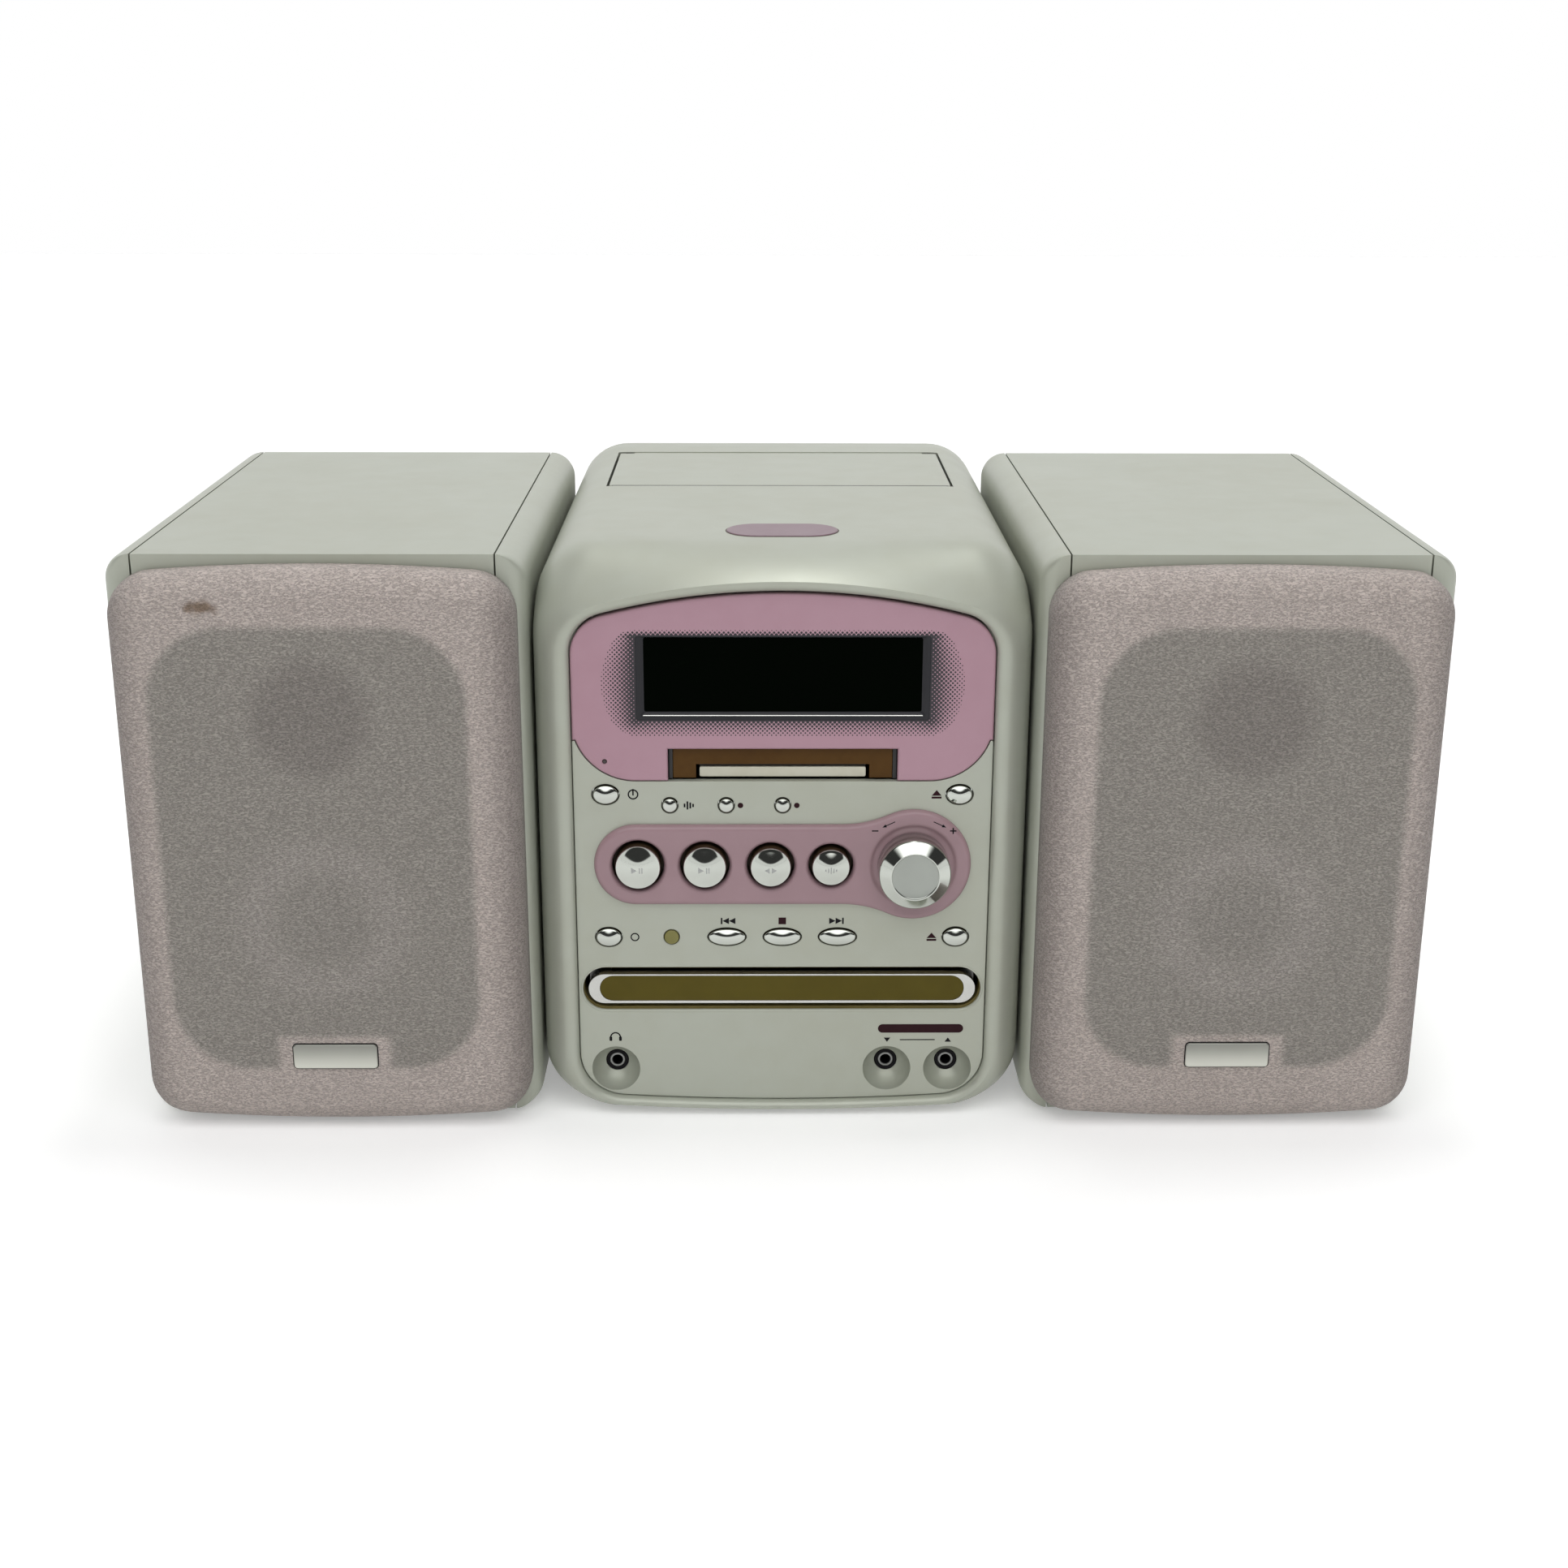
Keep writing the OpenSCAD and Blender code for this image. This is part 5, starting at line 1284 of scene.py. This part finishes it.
def makeSigns():
    s = signs
    x, z = s["power"]
    made = [ringSign(x, z, *s["powerRing"]), signMesh(barLoop(x, z + s["powerBarUp"], *s["powerBar"]))]
    for place in s["ejects"]:
        made += ejectSign(*place)
    for place in s["skips"]:
        made += skipSign(*place)
    made.append(signMesh(barLoop(*s["stop"]), zone=1))
    x, z = s["wave"]
    for i, halfH in enumerate(s["waveHalfH"]):
        made.append(signMesh(barLoop(x + i * s["wavePitch"], z, s["waveHalfW"], halfH)))
    made += [signMesh(discLoop(*place, s["dotR"], 24), zone=1) for place in s["dots"]]
    made.append(ringSign(*s["display"]))
    made += [signMesh(pillLoop(*s["jackBar"]), zone=1), signMesh(barLoop(*s["jackLine"]))]
    made += [signMesh(triangleLoop(*arrow)) for arrow in s["jackArrows"]]
    made += earphoneSign(*s["earphone"])
    for way in (-1, 1):
        made += knobSigns(way)
    # the upright of the plus lies a hair above its level bar
    upright = barLoop(knob["x"] + s["level"][0], s["level"][1], *s["levelHalf"][::-1])
    made.append(signMesh(upright, plate["out"] + s["lift"]))
    return joined(made)


def sourceSigns():
    # one sign for each source button, about the button's middle
    e = etched
    play = [triangleLoop(*e["playHead"]), *[barLoop(*bar) for bar in e["playBars"]]]
    both = [triangleLoop(*head) for head in e["bothHeads"]]
    pulse = [
        barLoop(i * e["pulsePitch"], 0, e["pulseHalfW"], halfH) for i, halfH in enumerate(e["pulseHalfH"], -2)
    ]
    return play, play, both, pulse


def drapedSign(loop, x, z, r):
    # a sign laid on a dome: its outline and a fine grid of points inside it are lifted to the dome's height
    fine = np.concatenate([linePoints(a, b, 6) for a, b in zip(loop, np.roll(loop, -1, axis=0))])
    low, high = fine.min(axis=0), fine.max(axis=0)
    across, up = (np.arange(low[axis], high[axis], etched["grid"]) for axis in (0, 1))
    grid = np.stack(np.meshgrid(across, up), axis=-1).reshape(-1, 2)
    inner = grid[insideLoop(grid, pushed(fine, -etched["inset"]))]
    edges = [(i, (i + 1) % len(fine)) for i in range(len(fine))]
    made = delaunay_2d_cdt([Vector(p) for p in np.concatenate([fine, inner])], edges, [], 1, 1e-6)
    flat = np.array([tuple(p) for p in made[0]])
    out = domeOut(r, source["edge"], source["top"], np.hypot(flat[:, 0], flat[:, 1]))
    front, back = (frontLay(flat + [x, z], sunk - out) for sunk in (-etched["proud"], etched["sunk"]))
    count = len(flat)
    faces = [tuple(f) for f in made[2]] + [tuple(i + count for i in reversed(f)) for f in made[2]]
    sides = {(i, j) for f in made[2] for i, j in zip(f, [*f[1:], f[0]])}
    faces += [(j, i, i + count, j + count) for i, j in sorted(sides) if (j, i) not in sides]
    return np.concatenate([front, back]), faces, [0] * len(faces)


addPiece("panelSigns", makeSigns(), ["ink", "inkRed"], sharp=20)
for i, ((x, z, r), sign) in enumerate(zip(source["places"], sourceSigns()), 1):
    draped = joined([drapedSign(loop * etched["scale"] + etched["shift"], x, z, r) for loop in sign])
    addPiece(f"sourceSign{i}", draped, ["etched"], f"source_button_{i}")
print("signs made")


# The construction's own solids that stay in sight take the finish of their record slot
for entry in frame["record"]["subparts"]:
    for held in frame["nodes"][entry["node"]].material_slots:
        held.material = finishes[entry["material_slot"]]


# Stage: a white floor, a sky that is pale behind the object and dark in front but for a soft box, and a lamp;
# the floor's and the lamp's lengths are metres, the sky's limits are parts of a direction of length 1
stage = {
    "half": 4.0, "floor": 0.9, "lift": 0.3, "lampPlace": (0.05, 0.1, 1.5), "lampSize": 0.3, "lampPower": 4.9,
    "dark": 0.05, "behind": 1.0, "behindY": (0.1, 0.6), "duskZ": (0.13, 0.19),
    "softBox": 2.15, "boxX": (0.45, 0.68), "boxY": (-0.35, -0.1), "boxZ": (0.42, 0.56),
}


def seenDirectly(tree):
    # 1 for rays from the camera, a mirror or glass, 0 for rays that only carry light
    rays = wire(tree, "ShaderNodeLightPath").outputs
    seen = calc(tree, "MAXIMUM", rays["Is Camera Ray"], rays["Is Glossy Ray"])
    return calc(tree, "MAXIMUM", seen, rays["Is Transmission Ray"])


def makeFloor():
    mesh = bpy.data.meshes.new("floor")
    h = stage["half"]
    mesh.from_pydata([(-h, -h, 0), (h, -h, 0), (h, h, 0), (-h, h, 0)], [], [(0, 1, 2, 3)])
    material = bpy.data.materials.new("floor")
    material.use_nodes = True
    tree = material.node_tree
    inputs = tree.nodes["Principled BSDF"].inputs
    inputs["Base Color"].default_value = (stage["floor"], stage["floor"], stage["floor"], 1)
    inputs["Emission Color"].default_value = (1, 1, 1, 1)
    tree.links.new(calc(tree, "MULTIPLY", seenDirectly(tree), stage["lift"]), inputs["Emission Strength"])
    inputs["Roughness"].default_value = 1.0
    inputs["Specular IOR Level"].default_value = 0.0
    mesh.materials.append(material)
    floor = bpy.data.objects.new("floor", mesh)
    bpy.context.scene.collection.objects.link(floor)
    return floor


def makeSky():
    # level = behind share x even light + front share x (bright low down, then dark, with a soft box high up)
    s = stage
    world = bpy.data.worlds.new("studio")
    bpy.context.scene.world = world
    world.use_nodes = True
    tree = world.node_tree
    toward = wire(tree, "ShaderNodeTexCoord").outputs["Generated"]
    parts = wire(tree, "ShaderNodeSeparateXYZ", {"Vector": toward}).outputs
    behind = ramped(tree, parts["Y"], *s["behindY"])
    dusk = ramped(tree, parts["Z"], *s["duskZ"], s["behind"], s["dark"])
    boxZ = ramped(tree, parts["Z"], *s["boxZ"], 0.0, s["softBox"])
    boxY = ramped(tree, parts["Y"], *s["boxY"], 1.0, 0.0)
    boxX = ramped(tree, calc(tree, "ABSOLUTE", parts["X"]), *s["boxX"], 1.0, 0.0)
    front = calc(tree, "ADD", dusk, calc(tree, "MULTIPLY", boxZ, calc(tree, "MULTIPLY", boxY, boxX)))
    level = calc(tree, "MULTIPLY", front, calc(tree, "SUBTRACT", 1.0, behind))
    level = calc(tree, "MULTIPLY_ADD", s["behind"], behind, level)
    tree.links.new(level, tree.nodes["Background"].inputs["Strength"])
    tree.nodes["Background"].inputs["Color"].default_value = (1, 1, 1, 1)


def makeLamp():
    data = bpy.data.lights.new("overhead", "AREA")
    data.size = stage["lampSize"]
    data.energy = stage["lampPower"]
    lamp = bpy.data.objects.new("overhead", data)
    lamp.location = stage["lampPlace"]
    bpy.context.scene.collection.objects.link(lamp)
    return lamp


makeFloor()
makeLamp()
makeSky()
bpy.context.scene.view_settings.view_transform = "Standard"
print("stage set")
